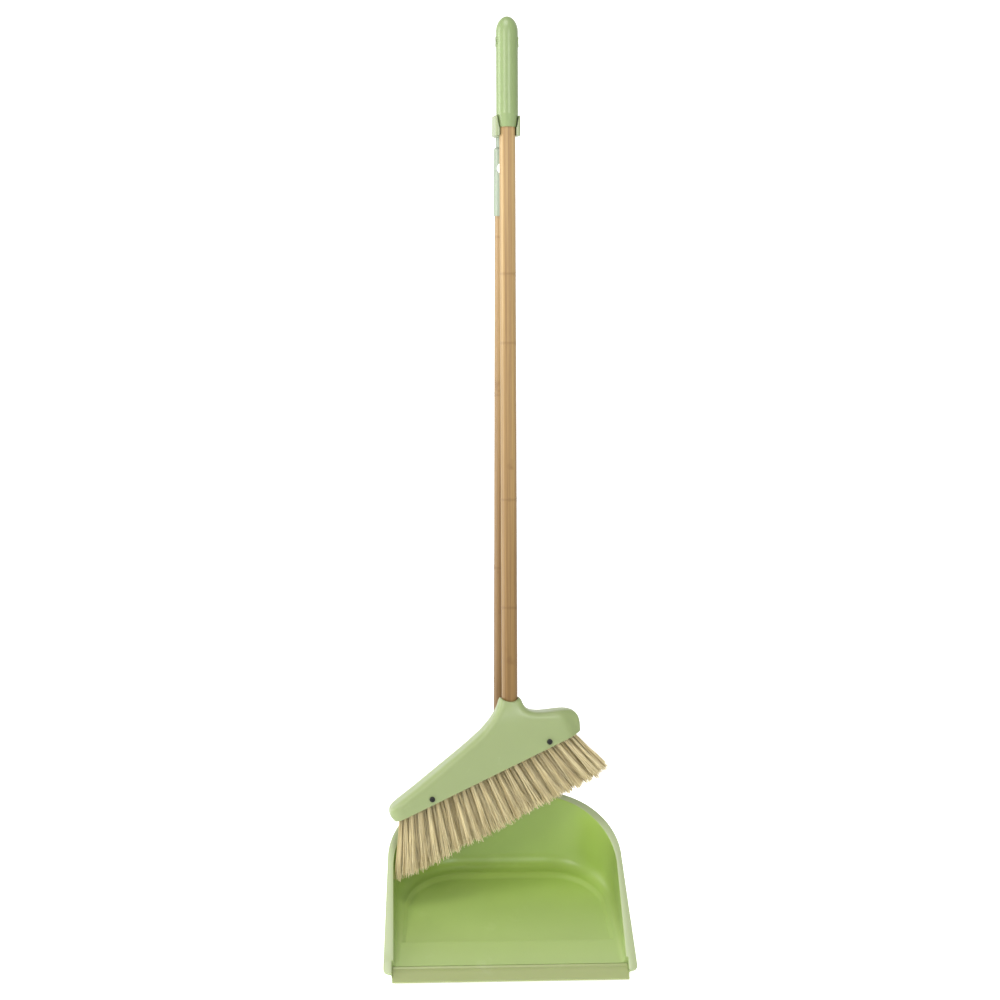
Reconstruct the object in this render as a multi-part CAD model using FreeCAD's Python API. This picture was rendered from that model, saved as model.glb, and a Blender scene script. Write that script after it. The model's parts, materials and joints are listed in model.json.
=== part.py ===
import FreeCAD, Part
import math
import os

os.makedirs("parts", exist_ok=True)

Vector = FreeCAD.Vector
X_AXIS = Vector(1, 0, 0)
Y_AXIS = Vector(0, 1, 0)
Z_AXIS = Vector(0, 0, 1)

# A long-handled dust pan and an angled broom that clips in front of it, hanging by the pan's grip.
# Millimetres. The pan's pole stands on the Z axis and the pan opens towards -Y. Heights below are
# measured up from the lip, and each piece is written with the centre of the hang hole at the origin.

# --- sizes that are set by hand ------------------------------------------------------------------

# fits
PRESS_GAP = 0.05            # pieces that are pressed or glued together
SLIDE_GAP = 0.30            # broom against clip and pan, which part in use

# poles
POLE_RADIUS = 8.25
PAN_POLE_BOTTOM = 66.0
PAN_POLE_TOP = 786.0
BROOM_POLE_BOTTOM = 222.0
BROOM_POLE_TOP = 917.0

# pan, in its own frame: x across, y back from the lip, z up from the underside
PAN_TILT = 20.0             # the floor rises this much to the back while the pole is upright
POLE_STAND_OFF = 6.1        # pole's axis behind the foot of the pan's back wall
PAN_WALL = 2.2
PAN_FLOOR = 2.6
LEDGE_HEIGHT = 5.2
PAN_HALF_WIDTH = 116.0      # inside of the side wall at the floor, at the front
FOOT_TAPER = 3.0            # narrower at the back
FOOT_CORNER = 66.0
FOOT_DEPTH = 181.7
BRIM_FRONT_SPREAD = 4.5     # inside of the wall where the shell's blank ends above
BRIM_BACK_SPREAD = 1.0
BRIM_CORNER = 80.0
BRIM_LEAN_BACK = 30.5       # the brim lies this much behind the foot
BRIM_HEIGHT = 80.0
FOOT_FILLET = 12.0
WELL_FRONT = 55.7
WELL_SIDE_SHELF = 8.5       # ledge beside the well, at the front and at the back
WELL_BACK_SIDE_SHELF = 11.5
WELL_CORNER = 60.0
WELL_SHELF = 12.0           # ledge between the well and the back wall
RAMP_FOOT_HEIGHT = 3.2
RIM_START = 7.7
RIM_START_HEIGHT = 6.0
RIM_SLOPE = 18.5
RIM_FRONT_SPREAD = 10.0
RIM_BACK_SPREAD = 5.0
RIM_CORNER = 85.0
RIM_OVERHANG = 38.3         # the rim's outline ends this much behind the foot
RIM_THICKNESS = 2.4

# soft lip
LIP_DEPTH = 21.7
LIP_SPREAD = 1.0            # the lip is this much wider than the floor on each side
LIP_EDGE = 1.4
TONGUE_DEPTH = 12.0
TONGUE_THICKNESS = 1.0
TONGUE_HEIGHT = 0.5

# pan socket
SOCKET_WALL = 3.2
SOCKET_BOTTOM = 56.0
SOCKET_TOP = 188.0
SOCKET_WEB = 8.0

# screws
SCREW_RADIUS = 1.9
SCREW_HEAD_RADIUS = 3.4
SCREW_HEAD_HEIGHT = 2.2
SCREW_LENGTH = 14.0
BLOCK_SCREW_RADIUS = 1.5
BLOCK_SCREW_HEAD_RADIUS = 2.8
BLOCK_SCREW_CLEARANCE = 0.9 # ends this far before the second row of tufts
SOCKET_SCREW_HEIGHT = 120.0

# pan grip and its neck
PAN_GRIP_WALL = 1.25        # around the pole
PAN_GRIP_BOTTOM = 750.5
PAN_GRIP_TOP = 820.0
NECK_RADIUS = 7.4
NECK_TOP = 846.0
HANG_HOLE_RADIUS = 6.5
HANG_HOLE_HEIGHT = 799.0
GRIP_ROUND = 2.0

# broom axis
BROOM_YAW = 5.0             # turned about the pan's pole
CLIP_SPACING = 30.0         # between the poles at the clip
HEAD_SPACING = 67.5         # between the poles at the bristles
SPACING_CLIP_HEIGHT = 845.0
SPACING_HEAD_HEIGHT = 110.0

# broom grip
BROOM_GRIP_WALL = 2.95      # around the pole
BROOM_GRIP_END_WALL = 0.65  # at the thin lower end
BROOM_GRIP_BOTTOM = 840.0
BROOM_GRIP_TAPER = 13.0
BROOM_GRIP_TOP = 951.0
BROOM_GRIP_DOME = 16.0
BROOM_HOLE_RADIUS = 4.0
BROOM_HOLE_HEIGHT = 925.5
BROOM_HOLE_RIM = 0.6
BROOM_HOLE_RIM_RADIUS = 5.3

# clip
CLIP_EAR_WALL = 1.6         # each side of the broom's grip
CLIP_BOTTOM = 830.5
CLIP_TOP = 850.5
CLIP_REACH = 6.0            # ears in front of the broom's axis
CLIP_CAP_WALL = 2.2

# broom head, in the broom's frame: x across, y back, z along the pole
EDGE_SLOPE = 24.6           # the lower edge rises this much towards +X
EDGE_HEIGHT = 188.6         # lower edge where it passes under the pole
HEAD_OVERREACH = 19.7       # left end beyond the pan's side, along the lower edge
HEAD_RIGHT = 79.5           # right end from the pole's axis, along the lower edge
HEAD_DEPTH = 34.0
HEAD_TOP_DEPTH = 25.0
HEAD_WALL = 2.5
SOCKET_TIP = 258.5
SOCKET_SCALLOP = 5.2
SOCKET_RIM_WALL = 2.3       # around the pole's bore, at the rim and at the root
SOCKET_ROOT_WALL = 5.7
SOCKET_ROOT_HEIGHT = 228.0
LOBE_RADIUS = 7.5           # round left end of the cover
WING_SLOPE = 38.5           # upper edge of the left wing
WING_TOP = 236.0
SHOULDER_TOP = 245.0
SHOULDER_DIP = 2.0
SHOULDER_RADIUS = 9.0
THREAD_RADIUS = 6.0
THREAD_LENGTH = 13.0
THREAD_TENON_RADIUS = 3.5
THREAD_TENON_LENGTH = 12.0
BLOCK_SCREW_LEFT = -84.0    # along the lower edge; each moves to the nearest gap between tufts
BLOCK_SCREW_RIGHT = 41.5
BLOCK_SCREW_RISE = 6.0

# tufts
BLOCK_HEIGHT = 11.0
ROW_COUNT = 5
TUFTS_PER_ROW = 21
ROW_MARGIN = 2.85           # outer rows inside the block's long sides
TUFT_RADIUS = 2.3
TUFT_TIP_GAP = 2.1          # the tips are this much slimmer than the rows' spacing
TUFT_SINK = 8.0
TUFT_LEFT_LEAN = 3.0        # to the left of straight down, at the left end
TUFT_RIGHT_LEAN = 43.0      # to the right of straight down, at the right end
TIP_SLOPE = 26.6
TIP_HEIGHT = 132.0          # tip line where it passes under the pole
LEFT_MARGIN = 11.5         # from the cover's ends to the first and last tufts
RIGHT_MARGIN = 8.0
LEAN_CURVE = 0.75
STAPLE_RADIUS = 0.5

# --- values that follow from them ----------------------------------------------------------------

POLE_BORE = POLE_RADIUS + PRESS_GAP
SOCKET_RADIUS = POLE_BORE + SOCKET_WALL
SOCKET_RIM_RADIUS = POLE_BORE + SOCKET_RIM_WALL
SOCKET_ROOT_RADIUS = POLE_BORE + SOCKET_ROOT_WALL
PAN_GRIP_RADIUS = POLE_RADIUS + PAN_GRIP_WALL
BROOM_GRIP_RADIUS = POLE_RADIUS + BROOM_GRIP_WALL
BROOM_GRIP_END_RADIUS = POLE_RADIUS + BROOM_GRIP_END_WALL
CLIP_HALF_WIDTH = BROOM_GRIP_RADIUS + CLIP_EAR_WALL
LIP_FRONT = FOOT_DEPTH + POLE_STAND_OFF
FOOT_BACK_HALF = PAN_HALF_WIDTH - FOOT_TAPER
BRIM_FRONT_HALF = PAN_HALF_WIDTH + BRIM_FRONT_SPREAD
BRIM_BACK_HALF = PAN_HALF_WIDTH + BRIM_BACK_SPREAD
WELL_FRONT_HALF = PAN_HALF_WIDTH - WELL_SIDE_SHELF
WELL_BACK_HALF = PAN_HALF_WIDTH - WELL_BACK_SIDE_SHELF
RIM_FRONT_HALF = PAN_HALF_WIDTH + RIM_FRONT_SPREAD
RIM_BACK_HALF = PAN_HALF_WIDTH + RIM_BACK_SPREAD
LIP_HALF = PAN_HALF_WIDTH + LIP_SPREAD
HEAD_LEFT = PAN_HALF_WIDTH + HEAD_OVERREACH
BRIM_DEPTH = FOOT_DEPTH + BRIM_LEAN_BACK
WELL_DEPTH = FOOT_DEPTH - WELL_SHELF
RIM_LENGTH = FOOT_DEPTH + RIM_OVERHANG
BROOM_LEAN = math.degrees(
    math.atan((HEAD_SPACING - CLIP_SPACING) / (SPACING_CLIP_HEIGHT - SPACING_HEAD_HEIGHT)))
BROOM_FOOT_SPACING = CLIP_SPACING + SPACING_CLIP_HEIGHT * math.tan(math.radians(BROOM_LEAN))
BLOCK_HALF_DEPTH = HEAD_DEPTH / 2 - HEAD_WALL - PRESS_GAP
ROW_SPACING = 2 * (BLOCK_HALF_DEPTH - ROW_MARGIN) / (ROW_COUNT - 1)
TUFT_TIP_RADIUS = ROW_SPACING - TUFT_TIP_GAP
BLOCK_SCREW_LENGTH = HEAD_DEPTH / 2 - ROW_SPACING - TUFT_RADIUS - BLOCK_SCREW_CLEARANCE
FAR = 400.0


# --- helpers -------------------------------------------------------------------------------------

def save(shape, node):
    """Write one sub-part, its heights now counted from the hang hole, and say what it is."""
    shape = moved(shape, FreeCAD.Placement(Vector(0, 0, -HANG_HOLE_HEIGHT), FreeCAD.Rotation()))
    shape.exportStep("parts/" + node + ".step")
    print("%-18s %4d solids %12.1f mm3 valid=%s" % (node, len(shape.Solids), shape.Volume, shape.isValid()))


def face_from_edges(edges):
    return Part.Face(Part.Wire(edges))


def polygon(points):
    return Part.Face(Part.makePolygon(points + [points[0]]))


def turned(profile):
    """Solid of revolution about Z from (radius, height) points."""
    points = [Vector(radius, 0, height) for radius, height in profile]
    return polygon(points).revolve(Vector(0, 0, 0), Z_AXIS, 360)


def cylinder(radius, bottom, top):
    return Part.makeCylinder(radius, top - bottom, Vector(0, 0, bottom))


def moved(shape, placement):
    copy = shape.copy()
    copy.Placement = placement.multiply(copy.Placement)
    return copy


def horseshoe(front, depth, front_half, back_half, corner, height):
    """Closed outline: open end at the front, straight sides, two round back corners."""
    centre_y = depth - corner
    centre_x = back_half - corner
    side_front = Vector(front_half, front, height)
    side_back = Vector(back_half, centre_y, height)
    back_right = Vector(centre_x, depth, height)
    diagonal = corner * math.cos(math.radians(45))
    middle = Vector(centre_x + diagonal, centre_y + diagonal, height)

    def mirror(point):
        return Vector(-point.x, point.y, point.z)

    return [
        Part.LineSegment(mirror(side_front), side_front).toShape(),
        Part.LineSegment(side_front, side_back).toShape(),
        Part.Arc(side_back, middle, back_right).toShape(),
        Part.LineSegment(back_right, mirror(back_right)).toShape(),
        Part.Arc(mirror(back_right), mirror(middle), mirror(side_back)).toShape(),
        Part.LineSegment(mirror(side_back), mirror(side_front)).toShape(),
    ]


def pan_placement():
    tilt = FreeCAD.Rotation(X_AXIS, PAN_TILT)
    return FreeCAD.Placement(Vector(0, -LIP_FRONT, 0), tilt)


def broom_placement():
    yaw = FreeCAD.Placement(Vector(0, 0, 0), FreeCAD.Rotation(Z_AXIS, BROOM_YAW))
    lean = FreeCAD.Placement(Vector(0, -BROOM_FOOT_SPACING, 0), FreeCAD.Rotation(X_AXIS, -BROOM_LEAN))
    return yaw.multiply(lean)


def screw(radius, head_radius, length):
    """Pan-head screw along -Z, with the underside of its head at Z = 0."""
    shank = cylinder(radius, -length, 0)
    head = Part.makeCylinder(head_radius, SCREW_HEAD_HEIGHT)
    head = head.makeFillet(SCREW_HEAD_HEIGHT * 0.45, [head.Edges[0]])
    slot = Part.makeBox(head_radius * 1.3, 0.8, 1.0)
    slot.translate(Vector(-head_radius * 0.65, -0.4, SCREW_HEAD_HEIGHT - 0.9))
    cross = slot.copy()
    cross.rotate(Vector(0, 0, 0), Z_AXIS, 90)
    return shank.fuse(head).cut(slot.fuse(cross)).removeSplitter()


def screw_room(radius, length):
    """Hole for a screw made along -Z, open above its head."""
    return cylinder(radius + PRESS_GAP, -length - PRESS_GAP, length)


def large_screw():
    return screw(SCREW_RADIUS, SCREW_HEAD_RADIUS, SCREW_LENGTH)


def large_screw_room():
    return screw_room(SCREW_RADIUS, SCREW_LENGTH)


# --- pan -----------------------------------------------------------------------------------------

def pan_blank(extra):
    """Loft through the wall's foot and brim, 'extra' outside the inner face."""
    foot = horseshoe(-FAR * 0.1, FOOT_DEPTH + extra, PAN_HALF_WIDTH + extra, FOOT_BACK_HALF + extra,
                     FOOT_CORNER + extra, 0)
    brim = horseshoe(-FAR * 0.1, BRIM_DEPTH + extra, BRIM_FRONT_HALF + extra, BRIM_BACK_HALF + extra,
                     BRIM_CORNER + extra, BRIM_HEIGHT)
    return Part.makeLoft([Part.Wire(foot), Part.Wire(brim)], True, True)


def rim_placement():
    slope = FreeCAD.Rotation(X_AXIS, RIM_SLOPE)
    return FreeCAD.Placement(Vector(0, RIM_START, RIM_START_HEIGHT), slope)


def pan_cavity():
    """Everything inside the walls and above the ledge, with a round foot at sides and back."""
    inside = pan_blank(0)
    below = Part.makeBox(2 * FAR, 2 * FAR, FAR, Vector(-FAR, -FAR, LEDGE_HEIGHT - FAR))
    cavity = inside.cut(below)
    foot_edges = []
    for edge in cavity.Edges:
        box = edge.BoundBox
        at_ledge = abs(box.ZMin - LEDGE_HEIGHT) < 0.01 and abs(box.ZMax - LEDGE_HEIGHT) < 0.01
        at_front = box.YMax < 0
        if at_ledge and not at_front:
            foot_edges.append(edge)
    return cavity.makeFillet(FOOT_FILLET, foot_edges)


def pole_socket():
    """Upright tube behind the pan, in the set's own frame."""
    tube = cylinder(SOCKET_RADIUS, SOCKET_BOTTOM, SOCKET_TOP)
    web = Part.makeBox(SOCKET_WEB, LIP_FRONT, SOCKET_TOP - SOCKET_BOTTOM,
                       Vector(-SOCKET_WEB / 2, -LIP_FRONT, SOCKET_BOTTOM))
    return tube, web


def pan_shell():
    blank = pan_blank(PAN_WALL)
    front = Part.makeBox(2 * FAR, FAR, FAR, Vector(-FAR, RIM_START - FAR, -FAR / 2))
    above = Part.makeBox(2 * FAR, 2 * FAR, FAR, Vector(-FAR, -FAR, 0))
    above = moved(above, rim_placement())
    walls = blank.cut(front).cut(above)

    rim = face_from_edges(horseshoe(0, RIM_LENGTH, RIM_FRONT_HALF, RIM_BACK_HALF, RIM_CORNER, 0))
    rim = moved(rim.extrude(Vector(0, 0, -RIM_THICKNESS)), rim_placement())
    shell = walls.fuse(rim)

    tube, web = pole_socket()
    to_pan = pan_placement().inverse()
    tube = moved(tube, to_pan)
    web = moved(web, to_pan)
    web = web.cut(pan_blank(PAN_WALL * 0.5))
    outside_front = Part.makeBox(2 * FAR, FOOT_DEPTH * 0.8, 2 * FAR, Vector(-FAR, -FAR * 0.2, -FAR))
    web = web.cut(outside_front)
    above_rim = moved(Part.makeBox(2 * FAR, 2 * FAR, FAR, Vector(-FAR, -FAR, -RIM_THICKNESS / 2)),
                      rim_placement())
    web = web.cut(above_rim)
    shell = shell.fuse(web).fuse(tube)

    shell = shell.cut(pan_cavity())

    well = face_from_edges(horseshoe(WELL_FRONT, WELL_DEPTH, WELL_FRONT_HALF, WELL_BACK_HALF,
                                     WELL_CORNER, PAN_FLOOR))
    well = well.extrude(Vector(0, 0, LEDGE_HEIGHT))
    shell = shell.cut(well)

    ramp = polygon([
        Vector(-PAN_HALF_WIDTH, WELL_FRONT, LEDGE_HEIGHT),
        Vector(-PAN_HALF_WIDTH, LIP_DEPTH, RAMP_FOOT_HEIGHT),
        Vector(-PAN_HALF_WIDTH, -FAR * 0.1, RAMP_FOOT_HEIGHT),
        Vector(-PAN_HALF_WIDTH, -FAR * 0.1, LEDGE_HEIGHT * 3),
        Vector(-PAN_HALF_WIDTH, WELL_FRONT, LEDGE_HEIGHT * 3),
    ]).extrude(Vector(2 * PAN_HALF_WIDTH, 0, 0))
    shell = shell.cut(ramp)

    lip_room = Part.makeBox(2 * (LIP_HALF + PRESS_GAP), FAR, FAR,
                            Vector(-LIP_HALF - PRESS_GAP, LIP_DEPTH - FAR, -FAR / 2))
    tongue = Part.makeBox(2 * LIP_HALF, TONGUE_DEPTH + 1, TONGUE_THICKNESS,
                          Vector(-LIP_HALF, LIP_DEPTH - TONGUE_DEPTH, TONGUE_HEIGHT))
    shell = shell.cut(lip_room).fuse(tongue)

    bore = moved(cylinder(POLE_BORE, PAN_POLE_BOTTOM - PRESS_GAP, SOCKET_TOP + 1), to_pan)
    screw_hole = moved(socket_screw_place(large_screw_room()), to_pan)
    shell = shell.cut(bore).cut(screw_hole)
    return moved(shell.removeSplitter(), pan_placement())


def pan_lip():
    """Soft strip, thin at its front edge, grooved at the back for the pan's tongue."""
    side = polygon([
        Vector(-LIP_HALF, 0, 0),
        Vector(-LIP_HALF, LIP_DEPTH - PRESS_GAP, 0),
        Vector(-LIP_HALF, LIP_DEPTH - PRESS_GAP, RAMP_FOOT_HEIGHT),
        Vector(-LIP_HALF, LIP_EDGE, LIP_EDGE),
    ])
    strip = side.extrude(Vector(2 * LIP_HALF, 0, 0))
    groove = Part.makeBox(2 * LIP_HALF + 2, TONGUE_DEPTH + 1, TONGUE_THICKNESS + 2 * PRESS_GAP,
                          Vector(-LIP_HALF - 1, LIP_DEPTH - TONGUE_DEPTH - PRESS_GAP,
                                 TONGUE_HEIGHT - PRESS_GAP))
    return moved(strip.cut(groove), pan_placement())


def socket_screw_place(shape):
    """Turn a screw made along -Z so that it points forward into the back of the socket."""
    turn = FreeCAD.Rotation(X_AXIS, -90)
    return moved(shape, FreeCAD.Placement(Vector(0, SOCKET_RADIUS, SOCKET_SCREW_HEIGHT), turn))


def pan_pole():
    pole = cylinder(POLE_RADIUS, PAN_POLE_BOTTOM, PAN_POLE_TOP)
    return pole.cut(socket_screw_place(large_screw_room()))


def pan_grip():
    """End cap with a blind bore below, a hang hole through it and a neck on top."""
    cap = cylinder(PAN_GRIP_RADIUS, PAN_GRIP_BOTTOM, PAN_GRIP_TOP)
    cap = cap.makeFillet(GRIP_ROUND, [edge for edge in cap.Edges if edge.Closed and
                                      abs(edge.BoundBox.ZMin - PAN_GRIP_TOP) < 0.01])
    neck = cylinder(NECK_RADIUS, PAN_GRIP_TOP - 1, NECK_TOP)
    bore = cylinder(POLE_BORE, PAN_GRIP_BOTTOM - 1, PAN_POLE_TOP + PRESS_GAP)
    hang_hole = Part.makeCylinder(HANG_HOLE_RADIUS, 4 * PAN_GRIP_RADIUS,
                                  Vector(0, -2 * PAN_GRIP_RADIUS, HANG_HOLE_HEIGHT), Y_AXIS)
    return cap.fuse(neck).cut(bore).cut(hang_hole).cut(clip_screw_place(large_screw_room())).removeSplitter()


def clip_screw_place(shape):
    return moved(shape, FreeCAD.Placement(Vector(0, 0, CLIP_TOP), FreeCAD.Rotation()))


# --- broom pieces that follow its axis -----------------------------------------------------------

def grip_profile(gap):
    """Half section of the grip's lower end, 'gap' outside its surface."""
    taper_top = BROOM_GRIP_BOTTOM + BROOM_GRIP_TAPER
    return [(BROOM_GRIP_END_RADIUS + gap, BROOM_GRIP_BOTTOM - gap), (BROOM_GRIP_RADIUS + gap, taper_top - gap)]


def broom_clip():
    """Cap on the neck of the pan's grip, with two ears that hold the broom's handle between them."""
    yaw = FreeCAD.Placement(Vector(0, 0, 0), FreeCAD.Rotation(Z_AXIS, BROOM_YAW))
    front = -CLIP_SPACING - CLIP_REACH
    cap_radius = NECK_RADIUS + CLIP_CAP_WALL
    body = cylinder(cap_radius, CLIP_BOTTOM, CLIP_TOP)
    bridge = polygon([
        Vector(-cap_radius, 0, CLIP_BOTTOM),
        Vector(-CLIP_HALF_WIDTH, -cap_radius, CLIP_BOTTOM),
        Vector(-CLIP_HALF_WIDTH, front, CLIP_BOTTOM),
        Vector(CLIP_HALF_WIDTH, front, CLIP_BOTTOM),
        Vector(CLIP_HALF_WIDTH, -cap_radius, CLIP_BOTTOM),
        Vector(cap_radius, 0, CLIP_BOTTOM),
    ]).extrude(Vector(0, 0, CLIP_TOP - CLIP_BOTTOM))
    upright = [edge for edge in bridge.Edges if edge.BoundBox.ZLength > 1
               and edge.BoundBox.YMax < front + 0.01]
    bridge = bridge.makeFillet(2.2, upright)
    clip = moved(body.fuse(bridge), yaw)

    neck_bore = cylinder(NECK_RADIUS + PRESS_GAP, CLIP_BOTTOM - 1, NECK_TOP + PRESS_GAP)
    clip = clip.cut(neck_bore)

    pole_room = POLE_RADIUS + SLIDE_GAP
    low, high = grip_profile(SLIDE_GAP)
    wide = BROOM_GRIP_RADIUS + SLIDE_GAP
    outline = [(pole_room, CLIP_BOTTOM - 20), (pole_room, low[1]), low, (wide, high[1]), (wide, CLIP_TOP + 20)]
    half = turned([(0, CLIP_BOTTOM - 20)] + outline + [(0, CLIP_TOP + 20)])
    slot_points = [Vector(radius, 0, height) for radius, height in outline]
    slot_points += [Vector(-radius, 0, height) for radius, height in reversed(outline)]
    slot = polygon(slot_points).extrude(Vector(0, -FAR * 0.1, 0))
    clip = clip.cut(moved(half.fuse(slot), broom_placement()))
    return clip.cut(clip_screw_place(large_screw_room())).removeSplitter()


def broom_pole():
    pole = cylinder(POLE_RADIUS, BROOM_POLE_BOTTOM, BROOM_POLE_TOP)
    tenon = cylinder(THREAD_TENON_RADIUS + PRESS_GAP, BROOM_POLE_BOTTOM - 1,
                     BROOM_POLE_BOTTOM + THREAD_TENON_LENGTH + PRESS_GAP)
    return moved(pole.cut(tenon), broom_placement())


def broom_grip():
    """Bullet-shaped grip with a tapered lower end and a rimmed side-to-side hole."""
    low, high = grip_profile(0)
    shoulder = BROOM_GRIP_TOP - BROOM_GRIP_DOME
    corners = [Vector(0, 0, low[1]), Vector(low[0], 0, low[1]), Vector(high[0], 0, high[1]),
               Vector(BROOM_GRIP_RADIUS, 0, shoulder)]
    edges = [Part.LineSegment(a, b).toShape() for a, b in zip(corners, corners[1:])]
    quarter = [math.radians(angle) for angle in range(0, 91, 15)]
    dome = Part.BSplineCurve()
    dome.interpolate([Vector(BROOM_GRIP_RADIUS * math.cos(angle), 0,
                             shoulder + BROOM_GRIP_DOME * math.sin(angle)) for angle in quarter])
    edges.append(dome.toShape())
    edges.append(Part.LineSegment(dome.EndPoint, corners[0]).toShape())
    grip = face_from_edges(edges).revolve(Vector(0, 0, 0), Z_AXIS, 360)

    rim_half = BROOM_GRIP_RADIUS + BROOM_HOLE_RIM
    boss = Part.makeCylinder(BROOM_HOLE_RIM_RADIUS, 2 * rim_half,
                             Vector(-rim_half, 0, BROOM_HOLE_HEIGHT), X_AXIS)
    sleeve = cylinder(rim_half, shoulder - 30, BROOM_GRIP_TOP)
    side_hole = Part.makeCylinder(BROOM_HOLE_RADIUS, 4 * BROOM_GRIP_RADIUS,
                                  Vector(-2 * BROOM_GRIP_RADIUS, 0, BROOM_HOLE_HEIGHT), X_AXIS)
    bore = cylinder(POLE_BORE, BROOM_GRIP_BOTTOM - 1, BROOM_POLE_TOP + PRESS_GAP)
    grip = grip.fuse(boss.common(sleeve)).cut(bore).cut(side_hole)
    return moved(grip.removeSplitter(), broom_placement())


def pole_thread():
    """Threaded end piece: a tenon glued into the pole and a ringed stub that screws into the socket."""
    bottom = BROOM_POLE_BOTTOM - THREAD_LENGTH
    core = cylinder(THREAD_RADIUS - 1.0, bottom, BROOM_POLE_BOTTOM)
    tenon = cylinder(THREAD_TENON_RADIUS, BROOM_POLE_BOTTOM, BROOM_POLE_BOTTOM + THREAD_TENON_LENGTH)
    piece = core.fuse(tenon)
    pitch = 3.0
    ring_count = int(THREAD_LENGTH / pitch)
    for index in range(ring_count):
        middle = bottom + pitch * (index + 0.5)
        ring = turned([(0, middle - 1.2), (THREAD_RADIUS - 1.0, middle - 1.2), (THREAD_RADIUS, middle),
                       (THREAD_RADIUS - 1.0, middle + 1.2), (0, middle + 1.2)])
        piece = piece.fuse(ring)
    return moved(piece.removeSplitter(), broom_placement())


# --- broom head ----------------------------------------------------------------------------------

def edge_placement():
    """Frame of the lower edge: x along the edge, z square to it, origin under the pole's axis."""
    slope = FreeCAD.Rotation(Y_AXIS, -EDGE_SLOPE)
    return FreeCAD.Placement(Vector(0, 0, EDGE_HEIGHT), slope)


def head_outline():
    """Cover seen from the front, in the broom's frame, as a face at y = 0."""
    def at_edge(along, rise):
        return edge_placement().multVec(Vector(along, 0, rise))

    left_low = at_edge(-HEAD_LEFT + LOBE_RADIUS, 0)
    left_centre = at_edge(-HEAD_LEFT + LOBE_RADIUS, LOBE_RADIUS)
    left_tip = left_centre + Vector(-LOBE_RADIUS, 0, 0)
    slope = math.radians(WING_SLOPE)
    left_top = left_centre + Vector(-LOBE_RADIUS * math.sin(slope), 0, LOBE_RADIUS * math.cos(slope))
    neck_left = Vector(left_top.x + (WING_TOP - left_top.z) / math.tan(slope), 0, WING_TOP)
    right_low = at_edge(HEAD_RIGHT, 0)
    right_side = Vector(right_low.x, 0, SHOULDER_TOP - SHOULDER_RADIUS)
    right_top = Vector(right_side.x - SHOULDER_RADIUS, 0, SHOULDER_TOP)
    bend = SHOULDER_RADIUS * math.cos(math.radians(45))
    right_middle = Vector(right_top.x + bend, 0, right_side.z + bend)
    neck_right = Vector(SOCKET_ROOT_RADIUS, 0, SHOULDER_TOP - SHOULDER_DIP)
    return face_from_edges([
        Part.Arc(left_low, left_tip, left_top).toShape(),
        Part.LineSegment(left_top, neck_left).toShape(),
        Part.LineSegment(neck_left, neck_right).toShape(),
        Part.LineSegment(neck_right, right_top).toShape(),
        Part.Arc(right_top, right_middle, right_side).toShape(),
        Part.LineSegment(right_side, right_low).toShape(),
        Part.LineSegment(right_low, left_low).toShape(),
    ])


def head_thickness(inset):
    """Prism that limits the head's depth: full at the lower edge, thinner above, round ends."""
    half_low = HEAD_DEPTH / 2 - inset
    half_top = HEAD_TOP_DEPTH / 2 - inset
    rise = 70.0
    section = polygon([
        Vector(-FAR, -half_low, -FAR * 0.1),
        Vector(-FAR, half_low, -FAR * 0.1),
        Vector(-FAR, half_low, BLOCK_HEIGHT + HEAD_WALL),
        Vector(-FAR, half_top, rise),
        Vector(-FAR, half_top, FAR),
        Vector(-FAR, -half_top, FAR),
        Vector(-FAR, -half_top, rise),
        Vector(-FAR, -half_low, BLOCK_HEIGHT + HEAD_WALL),
    ]).extrude(Vector(2 * FAR, 0, 0))
    plan = rounded_bar(HEAD_LEFT - inset, HEAD_RIGHT + HEAD_DEPTH / 4 - inset, half_low, -FAR * 0.1, FAR)
    return moved(section.common(plan), edge_placement())


def rounded_bar(left, right, half, bottom, top):
    """Bar along x with half-round ends."""
    middle = Part.makeBox(left + right - 2 * half, 2 * half, top - bottom,
                          Vector(-left + half, -half, bottom))
    left_end = Part.makeCylinder(half, top - bottom, Vector(-left + half, 0, bottom))
    right_end = Part.makeCylinder(half, top - bottom, Vector(right - half, 0, bottom))
    return middle.fuse(left_end).fuse(right_end)


def block_screw_place(shape, along):
    """Turn a screw made along -Z so that it points back into the block from the front of the cover."""
    turn = FreeCAD.Placement(Vector(along, -HEAD_DEPTH / 2, BLOCK_SCREW_RISE), FreeCAD.Rotation(X_AXIS, 90))
    place = broom_placement().multiply(edge_placement()).multiply(turn)
    return moved(shape, place)


def block_screw_places():
    """Distances along the lower edge that put each screw midway between two tufts of the front row."""
    to_edge = edge_placement().inverse()
    crossings = []
    for base, direction, length in tuft_axes()[0]:
        foot = to_edge.multVec(base)
        up = to_edge.Rotation.multVec(direction * -1)
        crossings.append(foot.x + up.x * BLOCK_SCREW_RISE / up.z)
    gaps = [(a + b) / 2 for a, b in zip(crossings, crossings[1:])]
    return [min(gaps, key=lambda gap: abs(gap - wanted)) for wanted in (BLOCK_SCREW_LEFT, BLOCK_SCREW_RIGHT)]


def block_screw():
    return screw(BLOCK_SCREW_RADIUS, BLOCK_SCREW_HEAD_RADIUS, BLOCK_SCREW_LENGTH)


def block_screw_room():
    return screw_room(BLOCK_SCREW_RADIUS, BLOCK_SCREW_LENGTH)


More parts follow.
